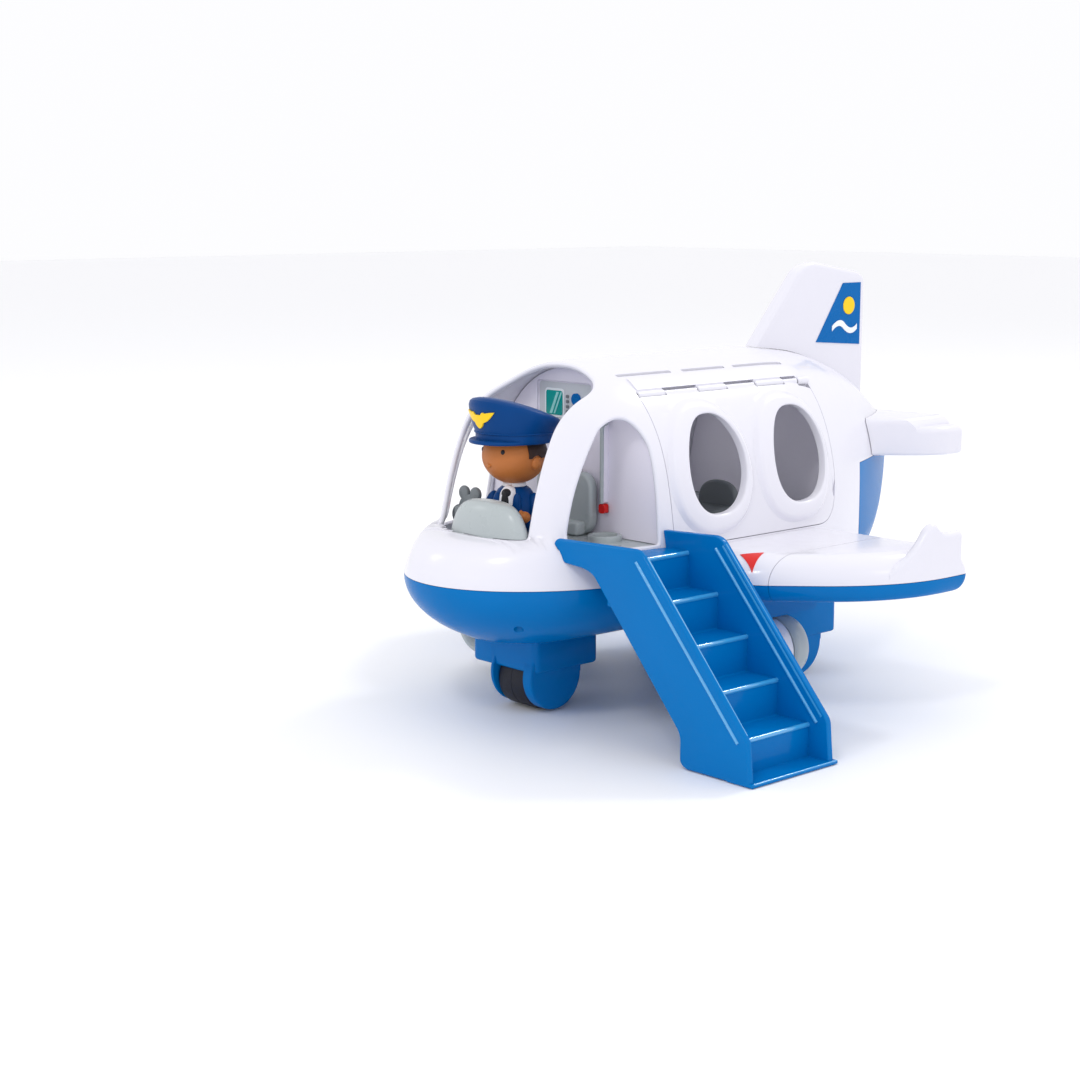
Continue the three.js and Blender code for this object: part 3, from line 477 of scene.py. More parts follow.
def pair(make, name, material, *nodes, body="airframe"):
    """A port piece and its mirror image; {side} in a name stands for port or starboard."""
    made = make()
    other = copied(made, name.format(side="starboard"), flip=True)
    made.name = name.format(side="port")
    for side, one in (("port", made), ("starboard", other)):
        piece(one, material, *(node.format(side=side) for node in nodes), body=body.format(side=side))


# ---- camera ----
camera_data = bpy.data.cameras.new("camera")
camera_data.lens, camera_data.sensor_width = 65.4, 36.0
camera = link("camera", camera_data)
camera.location = (0.63025, -0.66925, 0.225)
camera.rotation_euler = (radians(90 - 9.89), 0, radians(47.66))
bpy.context.scene.camera = camera

# ---- hull masters ----
NOSE_YS = [0.03, 0.12, 0.3, 0.6, 1, 1.5, 2.1, 2.9, 3.8, 4.9, 6.1, 7.4, 8.8, 10.3, 11.8, 13.3, 14.8, 16.2,
           17.6, 18.8, 19.8, 20.6, 21.3, 22, 22.7, 23.4, 24.2, 25, 26, 27.2, 28.5, 30, 31.7, 33.5, 35.5, 38,
               41, 44, 48, 52, 56]
HULL_YS = NOSE_YS + list(range(61, 90, 5)) + list(np.arange(94, 183, 8.0)) + list(np.arange(183, 306.5, 3.0))
INNER_YS = [3.4, 4.2, 5.2, 6.5, 8, 10, 12, 14, 16, 18, 20, 22, 24, 26, 29, 33, 38, 44, 52, 62, 75, 90, 120,
            150, 183, 190, 198, 206, 215, 225, 235, 245, 255, 265, 275, 286]


def hull(name, offset, ys=HULL_YS, ring=176):
    angles = (np.arange(ring) + 0.5) / ring * 2 * pi
    return skin(name, hull_at(np.array(ys, float)[:, None], angles[None, :], offset))


def below_seam(name, inset):
    z, step, high = SEAM_Z - inset, 228 + inset, 98 - inset
    shape = trace((-20, -20), (-20, z), (step, z), (step + 10, high), (340, high), (340, -20))
    return prism(name, "x", shape, -100, 100)


OUTER = hull("outer", 0.0)
INNER = hull("inner", -WALL, INNER_YS, 140)
MIDDLE = hull("middle", -WALL / 2, INNER_YS, 120)
CABIN = hull("cabin", -WALL - 0.4, [y for y in INNER_YS if 4 < y < 280], 140)
SHELL = cut(copied(OUTER, "shell"), INNER, keep=True)


# ---- wings ----
WING_TOP, WING_BOTTOM, WING_TIP, WING_REAR, WING_JOINT = 75.2, 55.5, 139.3, 192.5, 99.0


def wing_plan(inset):
    lead = 5.6 + inset * sqrt(2)
    tip, rear, start = WING_TIP - inset, WING_REAR - inset, 114 - inset * 0.4
    return trace(
        (40, 88 + inset),
        ((84, 84 + lead), (100, 100 + lead)),
        (start, start + lead),
        ((tip, tip + lead), (tip, min(rear - 6, tip + lead + 33))),
        (tip, rear - 5),
        ((tip, rear), (tip - 5, rear)),
        (40, rear - 3),
        steps=16,
    )


def wing_half(name, z0, z1, roundness, layers=14):
    rings = []
    for a in np.linspace(0, pi / 2, layers + 1):
        z = z0 + (z1 - z0) * sin(a)
        rings.append([(x, y, z) for x, y in wing_plan(roundness * (1 - cos(a)))])
    return skin(name, rings)


def winglet():
    """The upturned tip: a wall with a round top that follows the edge of the plan."""
    side = trace((144, 66.0), (149, 70.5), ((157, 75), (163, 84.5)), ((166, 88.6), (169.5, 86.8)),
                 ((172.5, 82.8), (177, 82.6)), (186, 82.6), steps=14)
    ys, tops = np.array(side).T
    middle = np.array(wing_plan(2.4))
    line = np.array([p for p in middle if p[0] > 118 and p[1] < 186])
    along = np.linspace(0, 1, 140)
    length = np.concatenate([[0], np.cumsum(np.linalg.norm(np.diff(line, axis=0), axis=1))])
    path = np.stack([np.interp(along * length[-1], length, line[:, k]) for k in (0, 1)], 1)
    tangent = np.gradient(path, axis=0)
    tangent /= np.linalg.norm(tangent, axis=1, keepdims=True)
    across = np.stack([tangent[:, 1], -tangent[:, 0]], 1)
    rings = []
    for (x, y), (u, v) in zip(path, across):
        if y < 146:
            continue
        top, r = float(np.interp(y, ys, tops)), 2.3
        ring = [(-r, 64.5)] + [(-r * cos(t), top - r + r * sin(t)) for t in np.linspace(0, pi, 13)]
        ring += [(r, 64.5)]
        rings.append([(x + u * d, y + v * d, z) for d, z in ring])
    return skin("winglet", rings)


def stub_box(name):
    return block(name, 30, WING_JOINT, 0, 300, 0, 120)


def tip_box(name):
    return block(name, WING_JOINT + 0.3, 200, 0, 300, 0, 120)


wing_top = wing_half("wing_top", SEAM_Z + 0.12, WING_TOP, 12)
wing_low = wing_half("wing_low", SEAM_Z - 0.12, WING_BOTTOM, 4)
top_stub = common(copied(wing_top, "top_stub"), stub_box("a"))
low_stub = common(copied(wing_low, "low_stub"), stub_box("a"))
pair(lambda: common(join(wing_top, winglet()), tip_box("a")), "{side}_wing_tip_top", WHITE,
     "{side}_wing_tip_upper")
pair(lambda: common(wing_low, tip_box("a")), "{side}_wing_tip_under", BLUE,
     "{side}_wing_tip_lower")


# ---- lower hull ----
def gear_housing(name, x, y, flush):
    """The housing above a wheel and the round covers on both sides of it."""
    x0, x1 = (x - 26.5, x + 16.6) if flush > 0 else (x - 16.6, x + 26.5)
    made = prism(name, "z", rounded_rect(x0, x1, y - 13.4, y + 25.5, 3.6), 18.7, 52, 1.5, 4)
    for side in (1, -1):
        out = 15.4 if side == flush else 11.9
        face = [(9.8, 0.01), (9.8, 14.2), (9.95, 14.9), (10.4, 15.2), (out - 1.0, 15.2), (out - 0.45, 15.0),
                (out - 0.1, 14.5), (out, 13.8), (out, 12.6), (out + 0.1, 9.0), (out + 0.35, 5.0),
                    (out + 0.45, 0.01)]
        profile = [(r, side * h) for h, r in face]
        made = join(made, turned("cover", "x", profile, (x, y, COVER_Z), 72))
        lo, hi = sorted((x + side * 9.8, x + side * out))
        made = join(made, block("web", lo, hi, y - 8, y + 15.2, COVER_Z, 24, 0.4))
    return made


def lower_hull():
    made = common(copied(SHELL, "hull_lower"), below_seam("a", 0.12))
    extras = [low_stub, copied(low_stub, "b", flip=True)]
    for side in (1, -1):
        x = side * ENGINE_X
        web = prism("pylon", "x", [(98, 30), (164, 30), (189, 57), (92, 57)], x - 4, x + 4, 1.2)
        bore = rod("y", 15.6, 60, 200, (x, 0, ENGINE_Z), 48)
        extras.append(cut(web, bore))
    extras += [gear_housing(f"housing_{name}", x, y, flush) for name, x, y, flush in GEARS]
    for extra in extras:
        join(made, cut(extra, MIDDLE, keep=True))
    for name, x, y, flush in GEARS:
        cut(made, rod("x", 13.7, -9.8, 9.8, (x, y, WHEEL_R), 64))
        cut(made, rod("x", 1.8, -11, 11, (x, y, WHEEL_R)))
    for _, x, y, _ in SCREWS:
        for side in (1, -1):
            cut(made, rod("z", 2.1, 20, 60, (side * x, y, 0)))
    return made


piece(lower_hull(), BLUE, "lower_hull")
# The screw heads are coloured near black as painted shade in the screw holes.
for name, x, y, z in SCREWS:
    for label, side in (("port", 1), ("starboard", -1)):
        head = [(1.0, z + 0.8), (1.2, z), (1.7, z + 0.1), (1.95, z + 0.6), (1.95, z + 2.2), (1.0, z + 2.2)]
        screw = turned(f"{label}_{name}_screw", "z", [*head, head[0]], (side * x, y, 0), 24)
        piece(screw, SCREW_HOLE_SHADE)


# ---- upper shell ----
def door_outline(grow=0.0):
    foot = FLOOR_Z + 0.4 - grow
    return trace((40.5 - grow, foot), ((45.5 - grow, 110), (61, 128.8 + grow)),
                 ((79, 141 + grow), (84 + grow, 120)), ((84 + grow, 100), (81.4 + grow, foot)), (61, foot),
                     steps=22)


def windscreen_plan():
    return trace((-30, -10), (30, -10), (30, 64), ((30, 75), (19, 76.4)), ((0, 79.6), (-19, 76.4)),
                 ((-30, 75), (-30, 64)), steps=14)


def resampled(points, step):
    points = np.asarray(points, float)
    points = np.concatenate([points, points[:1]])
    length = np.concatenate([[0], np.cumsum(np.linalg.norm(np.diff(points, axis=0), axis=1))])
    at = np.linspace(0, length[-1], max(8, int(length[-1] / step)), endpoint=False)
    return np.stack([np.interp(at, length, points[:, k]) for k in range(points.shape[1])], 1)


def softened(points, times=3):
    for _ in range(times):
        points = 0.5 * points + 0.25 * (np.roll(points, 1, 0) + np.roll(points, -1, 0))
    return points


def door_roll(side):
    """The rolled edge around a door opening, in the middle of the wall."""
    flat = resampled(door_outline(), 1.2)
    angle = flank_angle(flat[:, 0], flat[:, 1], side)
    path = softened(hull_at(flat[:, 0], angle, -WALL / 2))
    return tube("door_roll", path, WALL / 2, hull_normal(flat[:, 0], angle), sides=14)


def windscreen_roll():
    """The rolled edge around the windscreen opening."""
    ys = np.linspace(front_of(SILL_Z) + 0.01, 64, 900)
    reach = hull_point(ys, flank_angle(ys, SILL_Z))[:, 0]
    xs = 30 * np.sin(np.linspace(-1, 1, 61) * pi / 2)
    foot = float(np.interp(30, reach, ys))
    sill_y = np.interp(np.abs(xs), reach, ys)
    sill = [(y, flank_angle(y, SILL_Z, 1 if x > 0 else -1)) for x, y in zip(xs, sill_y)]
    plan = [(30, y) for y in np.linspace(foot, 64, 60)[1:-1]]
    plan += [p for p in windscreen_plan()[2:]]
    plan += [(-30, y) for y in np.linspace(64, foot, 60)[1:-1]]
    plan = np.array(plan)
    over = list(zip(plan[:, 1], roof_angle(plan[:, 1], plan[:, 0])))
    both = np.array([(float(a), float(b)) for a, b in sill + over])
    path, normals = hull_at(both[:, 0], both[:, 1], -WALL / 2), hull_normal(both[:, 0], both[:, 1])
    joined = resampled(np.concatenate([path, normals], 1), 1.2)
    joined = softened(joined, 4)
    return tube("windscreen_roll", joined[:, :3], WALL / 2, joined[:, 3:], sides=14)


def panel_outline(grow=0.0):
    """The edge of the window panel, with a wide curve at its lower rear corner."""
    front, rear, low = 89.35 - grow, 204.15 + grow, 75.95 - grow
    return trace((front, 165), (front, low + 3), ((front, low), (front + 3, low)), (186, low),
                 ((201.5 + grow, low), (rear - 0.4, 97)), ((rear, 101), (rear, 106)), (rear, 165), steps=12)


def barrel(name, y0, y1, r=2.1):
    ends = [(r - 0.5, y0), (r, y0 + 0.4), (r, y1 - 0.4), (r - 0.5, y1)]
    return turned(name, "y", ends, HINGE, 36)


def upper_shell():
    made = cut(copied(SHELL, "hull_upper"), below_seam("a", -0.12))
    band = common(hull("band", 0.7, [80, 90, 100, 120, 150, 183, 190, 198, 206, 215], 176),
                  prism("c", "z", rounded_rect(27.6, 38, 90.5, 203, 1.0), 130, 165))
    band = cut(band, MIDDLE, keep=True)
    for flip in (False, True):
        join(made, cut(copied(top_stub, "b", flip=flip), MIDDLE, keep=True))
        join(made, copied(band, "b", flip=flip))
    discard(band)
    cut(made, prism("a", "z", windscreen_plan(), SILL_Z, 170))
    cut(made, prism("a", "x", door_outline(), -90, 90))
    opening = prism("a", "x", panel_outline(0.35), 34.2, 90)
    stops = [89.5, *[y for lug in LUGS for y in lug], 204.0]
    fixed = [barrel("b", stops[i] + 0.4, stops[i + 1] - 0.4) for i in (0, 2, 4, 6)]
    room = [rod("y", 2.7, a - 0.4, b + 0.4, HINGE, 32) for a, b in LUGS]
    slits = [prism("s", "z", rounded_rect(23.6, 25.4, a, b, 0.85), 130, 165) for a, b in ROOF_SLITS]
    bore = rod("y", 1.1, 86, 206, HINGE, 16)
    for flip in (False, True):
        cut(made, copied(opening, "o", flip=flip))
        join(made, *[copied(b, "f", flip=flip) for b in fixed])
        cut(made, *[copied(b, "g", flip=flip) for b in [*room, *slits, bore]])
    discard(opening, *fixed, *room, *slits, bore)
    join(made, door_roll(1))
    join(made, door_roll(-1))
    join(made, windscreen_roll())
    return made


piece(upper_shell(), WHITE, "upper_shell")


# ---- window panels ----
def window_points(y, grow, around):
    across, up = np.cos(around), np.sin(around)
    half = (18 - 1.2 * up + grow) * np.sign(across) * np.abs(across) ** 0.85
    return y + 1.6 * up + half, WINDOW_Z + (21.5 + grow) * up


def window_frame(y):
    """The raised surround of a window, widest towards the nose, with soft edges."""
    around = full_turn(120) + 0.01
    reach = 5.0 + 6.6 * ((1 - np.cos(around)) / 2) ** 2 + 2.2 * np.maximum(0, -np.sin(around))
    profile = [(0.4, 0, -2.3), (0, 0, -1.9), (0, 0, 1.0), (0.25, 0, 1.6), (0.8, 0, 2.0), (1.6, 0, 2.1),
               (-3.7, 1, 2.1), (-2.8, 1, 1.98), (-1.9, 1, 1.6), (-1.2, 1, 1.05), (-0.6, 1, 0.5),
                   (0.2, 1, -0.05),
               (0.2, 1, -1.4), (-1.5, 1, -2.3)]
    rings = []
    for grow, whole, lift in profile:
        ys, zs = window_points(y, grow + whole * reach, around)
        rings.append(np.stack([flank_x(ys, zs, lift), ys, zs], -1))
    return loop("frame", np.swapaxes(np.array(rings), 0, 1))


def window_panel():
    made = common(copied(SHELL, "panel"), prism("a", "x", panel_outline(0.0), 35.4, 90))
    stops = [89.0, *[y for lug in LUGS for y in lug], 206.0]
    for i in (0, 2, 4, 6):
        cut(made, block("a", 30, 37.0, stops[i] - 0.4 * (i > 0), stops[i + 1] + 0.4 * (i < 6), 125, 165))
    around = full_turn(96)
    for y in WINDOW_YS:
        hole = list(zip(*window_points(y, 1.0, around)))
        cut(made, prism("a", "x", hole, 30, 90))
    frames = [window_frame(y) for y in WINDOW_YS]
    keep = prism("a", "x", panel_outline(0.0), 30, 90)
    for f in frames:
        join(made, common(f, keep, keep=True))
    discard(keep)
    for a, b in LUGS:
        join(made, barrel("b", a, b, 1.5))
    notch_x = float(flank_x(np.array([201.0]), np.array([91.0]))[0]) - 1.3
    cut(made, prism("a", "x", rounded_rect(200.2, 208, 86.5, 95.5, 1.6), notch_x, 90))
    cut(made, rod("y", 1.1, 86, 206, HINGE, 16))
    return made


pair(window_panel, "{side}_window_frame_panel", WHITE, "{side}_window_panel", body="{side}_panel")


# ---- tail ----
def tail_fin():
    shape = trace((194, 146), (231, 187.5), ((236, 193.6), (247, 193.6)), (280, 188.5),
                  ((285.6, 187), (285.6, 182)), (285.6, 116), (194, 140), steps=12)
    made = prism("fin", "x", shape, -3.4, 3.4, 2.2, 5)
    return cut(made, hull("a", 0.3))


piece(tail_fin(), WHITE, "tail_fin")


def decal(name, shape, x, thick=0.3):
    return prism(name, "x", shape, x, x + thick)


def circle(y, z, r, n=48):
    return [(y + r * cos(t), z + r * sin(t)) for t in full_turn(n)]


def fin_wave():
    return decal("wave", trace((259.5, 161.5), ((265.5, 166.5), (269.5, 162.5)), ((274.5, 158), (279, 162)),
                               (279, 159.4), ((274, 155.2), (268.5, 159.8)),
                                   ((264.5, 163.4), (259.5, 159))), 3.85)


pair(lambda: decal("field", [(247.6, 154), (281.8, 151.5), (281.8, 182.8), (267.8, 182.8)], 3.45),
     "{side}_fin_field", PRINT_BLUE, "{side}_fin_decal")
pair(lambda: decal("sun", circle(272.4, 171.4, 4.4), 3.8), "{side}_fin_sun_print", YELLOW,
     "{side}_fin_sun")
pair(fin_wave, "{side}_fin_wave_print", PRINT_WHITE, "{side}_fin_wave")


def stabilizer():
    def plan(inset, tip=54.5):
        lead = lambda x: 227.5 + 1.06 * x + inset * 1.45
        rear, end = LENGTH - 1.5 - inset, tip - inset
        return trace((2, lead(2)), (end - 10, lead(end - 10)), ((end, lead(end)), (end, lead(end) + 7)),
                     (end, rear - 4), ((end, rear), (end - 4, rear)), (2, rear - 3), steps=10)

    def slab(z0, z1):
        layers = [(z0 + 1.8 * (1 - sin(a)), 1.8 * (1 - cos(a))) for a in np.linspace(pi / 2, 0, 6)]
        layers += [(z1 - 3.4 * (1 - sin(a)), 3.4 * (1 - cos(a))) for a in np.linspace(0, pi / 2, 9)]
        return skin("slab", [[(x, y, z) for x, y in plan(inset)] for z, inset in layers])

    step = trace((0, 90), (46, 90), (46, 110), ((45.6, 113.0), (43.6, 114.6)), ((41.8, 116.6), (39.4, 117.2)),
                 (0, 117.2), steps=8)
    made = join(slab(98.3, 112.6), common(slab(98.3, 117), prism("a", "y", step, 200, 340)))
    cut(made, hull("a", 0.3))
    return cut(made, block("a", 0, 9, 292, LENGTH + 1, 90, 108))


pair(stabilizer, "{side}_tailplane", WHITE, "{side}_stabilizer")


# ---- engines ----
def engine_part(profile):
    return lambda: turned("engine", "y", profile, (ENGINE_X, 0, ENGINE_Z), 80)


ENGINE_PARTS = (
    ("body", WHITE,
     [(14.0, 94), (14.6, 94.2), (15, 95.5), (15, 137), (14.8, 142), (14.4, 145.4), (13.9, 145.7)]),
    ("intake", LIGHT_GREY,
     [(0.01, 89.5), (1.6, 87.2), (3.4, 88.6), (4.2, 88.8), (11.2, 88.2), (11.6, 85.6), (12.2, 84.2),
      (13.1, 83.2), (14.0, 83.0), (14.9, 83.5), (15.4, 84.8), (15.3, 90), (15.1, 93), (14.6, 93.7),
          (0.01, 93.7)]),
    ("exhaust", LIGHT_GREY,
     [(0.01, 146), (14.7, 146), (15.3, 146.7), (15.6, 148), (15.5, 149.2), (15.0, 149.8), (14.9, 152),
      (14.4, 155.2), (13.7, 156.7), (12.9, 157), (12.0, 156.7), (11.2, 155.8), (10.6, 154), (10.2, 153.2),
          (3.2, 153.2),
      (2.2, 154.6), (0.01, 155.4)]),
)
for part, material, outline_points in ENGINE_PARTS:
    pair(engine_part(outline_points), "{side}_nacelle_" + part, material,
         "{side}_engine_" + part)


# ---- wheels ----
def tyre(at):
    lathe = [(8.9, -9.0), (11.4, -9.2), (12.2, -9.0), (12.7, -8.4), (12.9, -7.6), (12.9, -0.4), (12.7, -0.2),
             (12.7, 0.2), (12.9, 0.4), (12.9, 7.6), (12.7, 8.4), (12.2, 9.0), (11.4, 9.2), (8.9, 9.0),
                 (8.9, -9.0)]
    return turned("tyre", "x", lathe, at, 96)


def hub(at):
    lathe = [(1.9, -8.8), (3.8, -8.8), (4.2, -7.4), (7.0, -7.4), (7.5, -8.6), (8.6, -8.8), (8.6, 8.8),
             (7.5, 8.6), (7.0, 7.4), (4.2, 7.4), (3.8, 8.8), (1.9, 8.8), (1.9, -8.8)]
    return turned("hub", "x", lathe, at, 64)


for gear, x, y, _ in GEARS:
    wheel_body = "nose_wheel" if gear == "nose" else gear + "_wheel"
    parts = ((tyre, "_tread", TYRE, "_tyre"), (hub, "_rim", LIGHT_GREY, "_wheel_hub"))
    for make, label, material, node in parts:
        made = make((x, y, WHEEL_R))
        made.name = gear + label
        piece(made, material, gear + node, body=wheel_body)


# ---- cabin ----
def cabin_floor():
    made = common(copied(CABIN, "floor"), block("a", -80, 80, 68.4, 222, FLOOR_Z - 2.4, FLOOR_Z))
    peg = [(5.4, -1), (7.6, -1), (7.6, 1.9), (7.4, 2.4), (7.0, 2.6), (6.2, 2.6), (5.7, 2.4), (5.4, 1.9),
           (5.4, -1)]
    join(made, turned("peg", "z", peg, (29, 76.5, FLOOR_Z), 64))
    for x, y in ((29, 150), (-29, 150), (0, 190)):
        join(made, turned("peg", "z", peg, (x, y, FLOOR_Z), 48))
    return made


def cockpit_floor():
    made = common(copied(CABIN, "cockpit"), block("a", -80, 80, 20, 68, COCKPIT_Z - 2.4, COCKPIT_Z))
    riser = common(copied(CABIN, "riser"), block("a", -50, 50, 66, 68, COCKPIT_Z - 1, FLOOR_Z))
    return join(made, riser)


def bulkhead():
    y = BULKHEAD_Y
    made = common(copied(CABIN, "wall"), block("a", -80, 80, y, y + 2.6, FLOOR_Z + 0.3, 165))
    cut(made, prism("a", "y", rounded_rect(-24, 12, 123.5, 144, 2.2), y - 1, y + 1.2, 0.5))
    strip = prism("a", "y", rounded_rect(20.9, 22.9, 92, 128, 0.9), y - 2.6, y + 0.4, 0.5)
    return join(made, strip)


piece(cabin_floor(), LIGHT_GREY, "cabin_floor")
piece(cockpit_floor(), LIGHT_GREY, "cockpit_floor")
piece(bulkhead(), INNER_WHITE, "bulkhead")
rear_wall = common(copied(CABIN, "cabin_rear_wall"), block("a", -80, 80, 212, 214.6, FLOOR_Z + 0.3, 165))
piece(rear_wall, INNER_WHITE, "rear_bulkhead")


def wall_print(name, shape, material, *nodes, depth=0.0, thick=0.25):
    """A thin print or raised part on the bulkhead, facing the cockpit."""
    y = BULKHEAD_Y + 1.15 - depth
    piece(prism(name, "y", shape, y - thick, y), material, *nodes)


SCREEN = (-19.1, -6.4, 127.4, 140.4)
x0, x1, z0, z1 = SCREEN
wall_print("instrument_plate", rounded_rect(-23, 11, 124.5, 143.2, 1.6), PALE_GREY)
wall_print("screen_border", rounded_rect(x0, x1, z0, z1, 1.8), PRINT_WHITE, depth=0.3)
wall_print("screen_field", rounded_rect(x0 + 1, x1 - 1, z0 + 1, z1 - 1, 1.2), TEAL, "instrument_screen",
           depth=0.6)
for k, (a, width) in enumerate(((-15.6, 1.6), (-12.9, 0.9))):
    shine = [(a, z0 + 1.6), (a + width, z0 + 1.6), (a + width + 4.6, z1 - 1.6), (a + 4.6, z1 - 1.6)]
    wall_print(f"screen_shine_{k}", shine, PALE_TEAL, depth=0.85, thick=0.2)
wall_print("instrument_knob", circle(1.6, 136.3, 2.7), PRINT_BLUE, "instrument_dial", depth=0.3,
           thick=1.0)
for k in range(4):
    key = rounded_rect(-5.0, -3.6, 129.6 + 2.3 * k, 131.0 + 2.3 * k, 0.4)
    wall_print(f"instrument_key_{k}", key, DARK_GREY_AND_PAINTED_SHADE, depth=0.3, thick=0.6)
for k, material in enumerate((RED, YELLOW, TEAL)):
    wall_print(f"instrument_lamp_{k}", circle(-0.6 + 2.7 * k, 131.6, 0.85), material, depth=0.3, thick=0.6)
wall_print("lever_tip", rounded_rect(20.2, 23.6, 87.5, 91.7, 1.1), RED, "wall_lever_grip", depth=1.6,
           thick=2.8)
wall_print("lever_clip", rounded_rect(20.6, 25.1, 128.6, 131.4, 0.9), DARK_GREY_AND_PAINTED_SHADE, "wall_lever_clip",
           depth=1.6, thick=2.4)


bend = [(21.9 + 3.2 * (1 - cos(t)), BULKHEAD_Y - 3.1, 124.6 + 3.2 * sin(t)) for t in np.linspace(0, 1.5, 9)]
lever = [(21.9, BULKHEAD_Y - 3.1, z) for z in np.linspace(92, 124, 9)] + bend
piece(tube("wall_lever_rod", lever, 0.9, [(0, 1, 0)] * len(lever), closed=False, sides=16), LIGHT_GREY)


def dome(grow):
    rings = []
    for a in np.linspace(0, pi / 2, 26):
        shrink = max(0.012, cos(a) ** 0.52)
        turn = full_turn(72)
        x, y = 5 + (25 + grow) * shrink * np.cos(turn), 30.4 + (9.4 + grow) * shrink * np.sin(turn)
        z = COCKPIT_Z + 0.3 + (27.6 + grow) * sin(a)
        rings.append(np.stack([x, y, np.full_like(x, z)], -1))
    return skin("dashboard_dome", rings)


def cockpit_room():
    below = common(copied(CABIN, "room"), block("a", -60, 22.5, 0, 90, 60, SILL_Z + 0.3))
    return join(below, block("a", -27, 28.2, 19.5, 60, SILL_Z + 0.3, 120))


def dashboard():
    return common(dome(0.0), cockpit_room())


def yoke_column():
    post = block("yoke_post", -21.1, -15.9, 32.4, 37.8, COCKPIT_Z + 0.3, 91.2, 0.7)
    common(post, cockpit_room())
    return cut(post, dome(0.4), rod("y", 1.7, 34, 43.4, (YOKE_X, 0, YOKE_Z), 20))


def control_yoke():
    def lobe(dx, dz, r):
        rim = [(r - 0.9, 0), (r - 0.3, 0.25), (r, 0.8), (r, 1.5), (r - 0.3, 2.05), (r - 0.9, 2.3)]
        return turned("yoke_wheel", "y", rim, (YOKE_X + dx, YOKE_Y, YOKE_Z + dz), 40)

    made = lobe(0, 0, 7.4)
    join(made, lobe(-3.8, 7.6, 3.2), lobe(3.8, 7.6, 3.2), lobe(-7.2, -2.6, 4.6), lobe(7.2, -2.6, 4.6))
    return join(made, rod("y", 1.4, -4, 1, (YOKE_X, YOKE_Y, YOKE_Z), 20))


piece(dashboard(), LIGHT_GREY, "dashboard")
# The yoke and its column are light grey plastic in shade; their dark grey is painted shade.
piece(yoke_column(), DARK_GREY_AND_PAINTED_SHADE, "yoke_column")
piece(control_yoke(), DARK_GREY_AND_PAINTED_SHADE, "control_yoke", body="yoke")


def pilot_seat():
    base = FLOOR_Z + 0.3
    back = prism("pilot_seat_shell", "y", rounded_rect(-18, 18, base, 105, 7, 10), 78, 83, 1.6, 4)
    return join(back, block("seat_base", -15, 15, 72.5, 78.6, base, 83.5, 1.4, 4))


def passenger_seat():
    x, y, base = 20.0, 142.0, FLOOR_Z + 0.3
    made = prism("seat", "z", rounded_rect(x - 12, x + 12, y, y + 20, 3), base, base + 6, 1.5, 4)
    back = trace((x - 12, base), (x - 12, base + 7), ((x - 12, base + 17.5), (x, base + 17.5)),
                 ((x + 12, base + 17.5), (x + 12, base + 7)), (x + 12, base), steps=16)
    return join(made, prism("back", "y", back, y + 16, y + 20, 1.4, 4))


piece(pilot_seat(), LIGHT_GREY, "pilot_seat")
# The cabin seats are coloured dark grey as painted shade, for seats standing in the shade of the cabin.
pair(passenger_seat, "{side}_cabin_seat", DARK_GREY_AND_PAINTED_SHADE, "{side}_passenger_seat")


# ---- pilot ----
PX, PY, FOOT, CHIN, RIM, FACE_Z = -2.0, 51.0, COCKPIT_Z + 0.3, 101.4, 120.0, 113.95
HEAD_TURN, BODY_TURN = -5.0, 25.0


def around_pilot(made, turn):
    """Turns a shape about the pilot's upright axis; the pilot is modelled facing the nose."""
    made.data.transform(Matrix.Translation((PX, PY, 0)) @ Matrix.Rotation(radians(turn), 4, "Z"))
    return made


def pilot_jacket():
    profile = [(9.8, 0), (10.5, 0.4), (10.7, 1.2), (10.4, 4), (9.6, 9), (9.5, 12), (10.1, 16), (10.5, 20),
               (10.2, 23.5), (9.0, 27), (7.2, 29.8), (5.4, 31.2), (4.0, 31.6)]
    made = turned("jacket", "z", profile, (0, 0, FOOT))
    for side in (1, -1):
        arm = ellipsoid("arm", (0, 0, 0), (3.7, 4.4, 10.6))
        lean = Matrix.Rotation(radians(-side * 12), 4, "Y")
        arm.data.transform(Matrix.Translation((side * 11.4, -0.6, FOOT + 18.2)) @ lean)
        fore = ellipsoid("fore", (0, 0, 0), (3.0, 6.6 if side > 0 else 4.6, 2.9))
        rise = Matrix.Rotation(-0.75 if side > 0 else 0.0, 4, "X")
        at = (11.0, -7.0, FOOT + 14.4) if side > 0 else (-11.4, 0.4, FOOT + 10.4)
        fore.data.transform(Matrix.Translation(at) @ rise)
        join(made, arm, fore)
        lapel = ellipsoid("lapel", (side * 4.6, -7.9, FOOT + 22.4), (2.2, 2.0, 6.6), side * 18)
        join(made, lapel)
    return around_pilot(made, BODY_TURN)


def pilot_head():
    made = ellipsoid("head", (0, 0, FACE_Z), (14.4, 14.2, FACE_Z - CHIN), segments=72, rings=48)
    for side in (1, -1):
        join(made, ellipsoid("ear", (side * 14.0, 1.5, FACE_Z - 2.4), (1.9, 2.5, 2.9)))
    join(made, ellipsoid("nose", (0, -13.7, FACE_Z - 3.6), (1.3, 0.9, 1.0)))
    common(made, block("a", -40, 40, -40, 40, 0, RIM - 0.3))
    return around_pilot(made, HEAD_TURN)


def pilot_hair():
    made = ellipsoid("hair", (0, 0, FACE_Z), (14.9, 14.8, FACE_Z - CHIN + 0.4), segments=72, rings=48)
    common(made, block("a", -40, 40, -2.6, 40, RIM - 6.2, RIM - 0.3))
    cut(made, ellipsoid("a", (14.6, 1.5, FACE_Z - 2.6), (3.4, 3.6, 3.7)))
    cut(made, ellipsoid("a", (-14.6, 1.5, FACE_Z - 2.6), (3.4, 3.6, 3.7)))
    return around_pilot(made, HEAD_TURN)


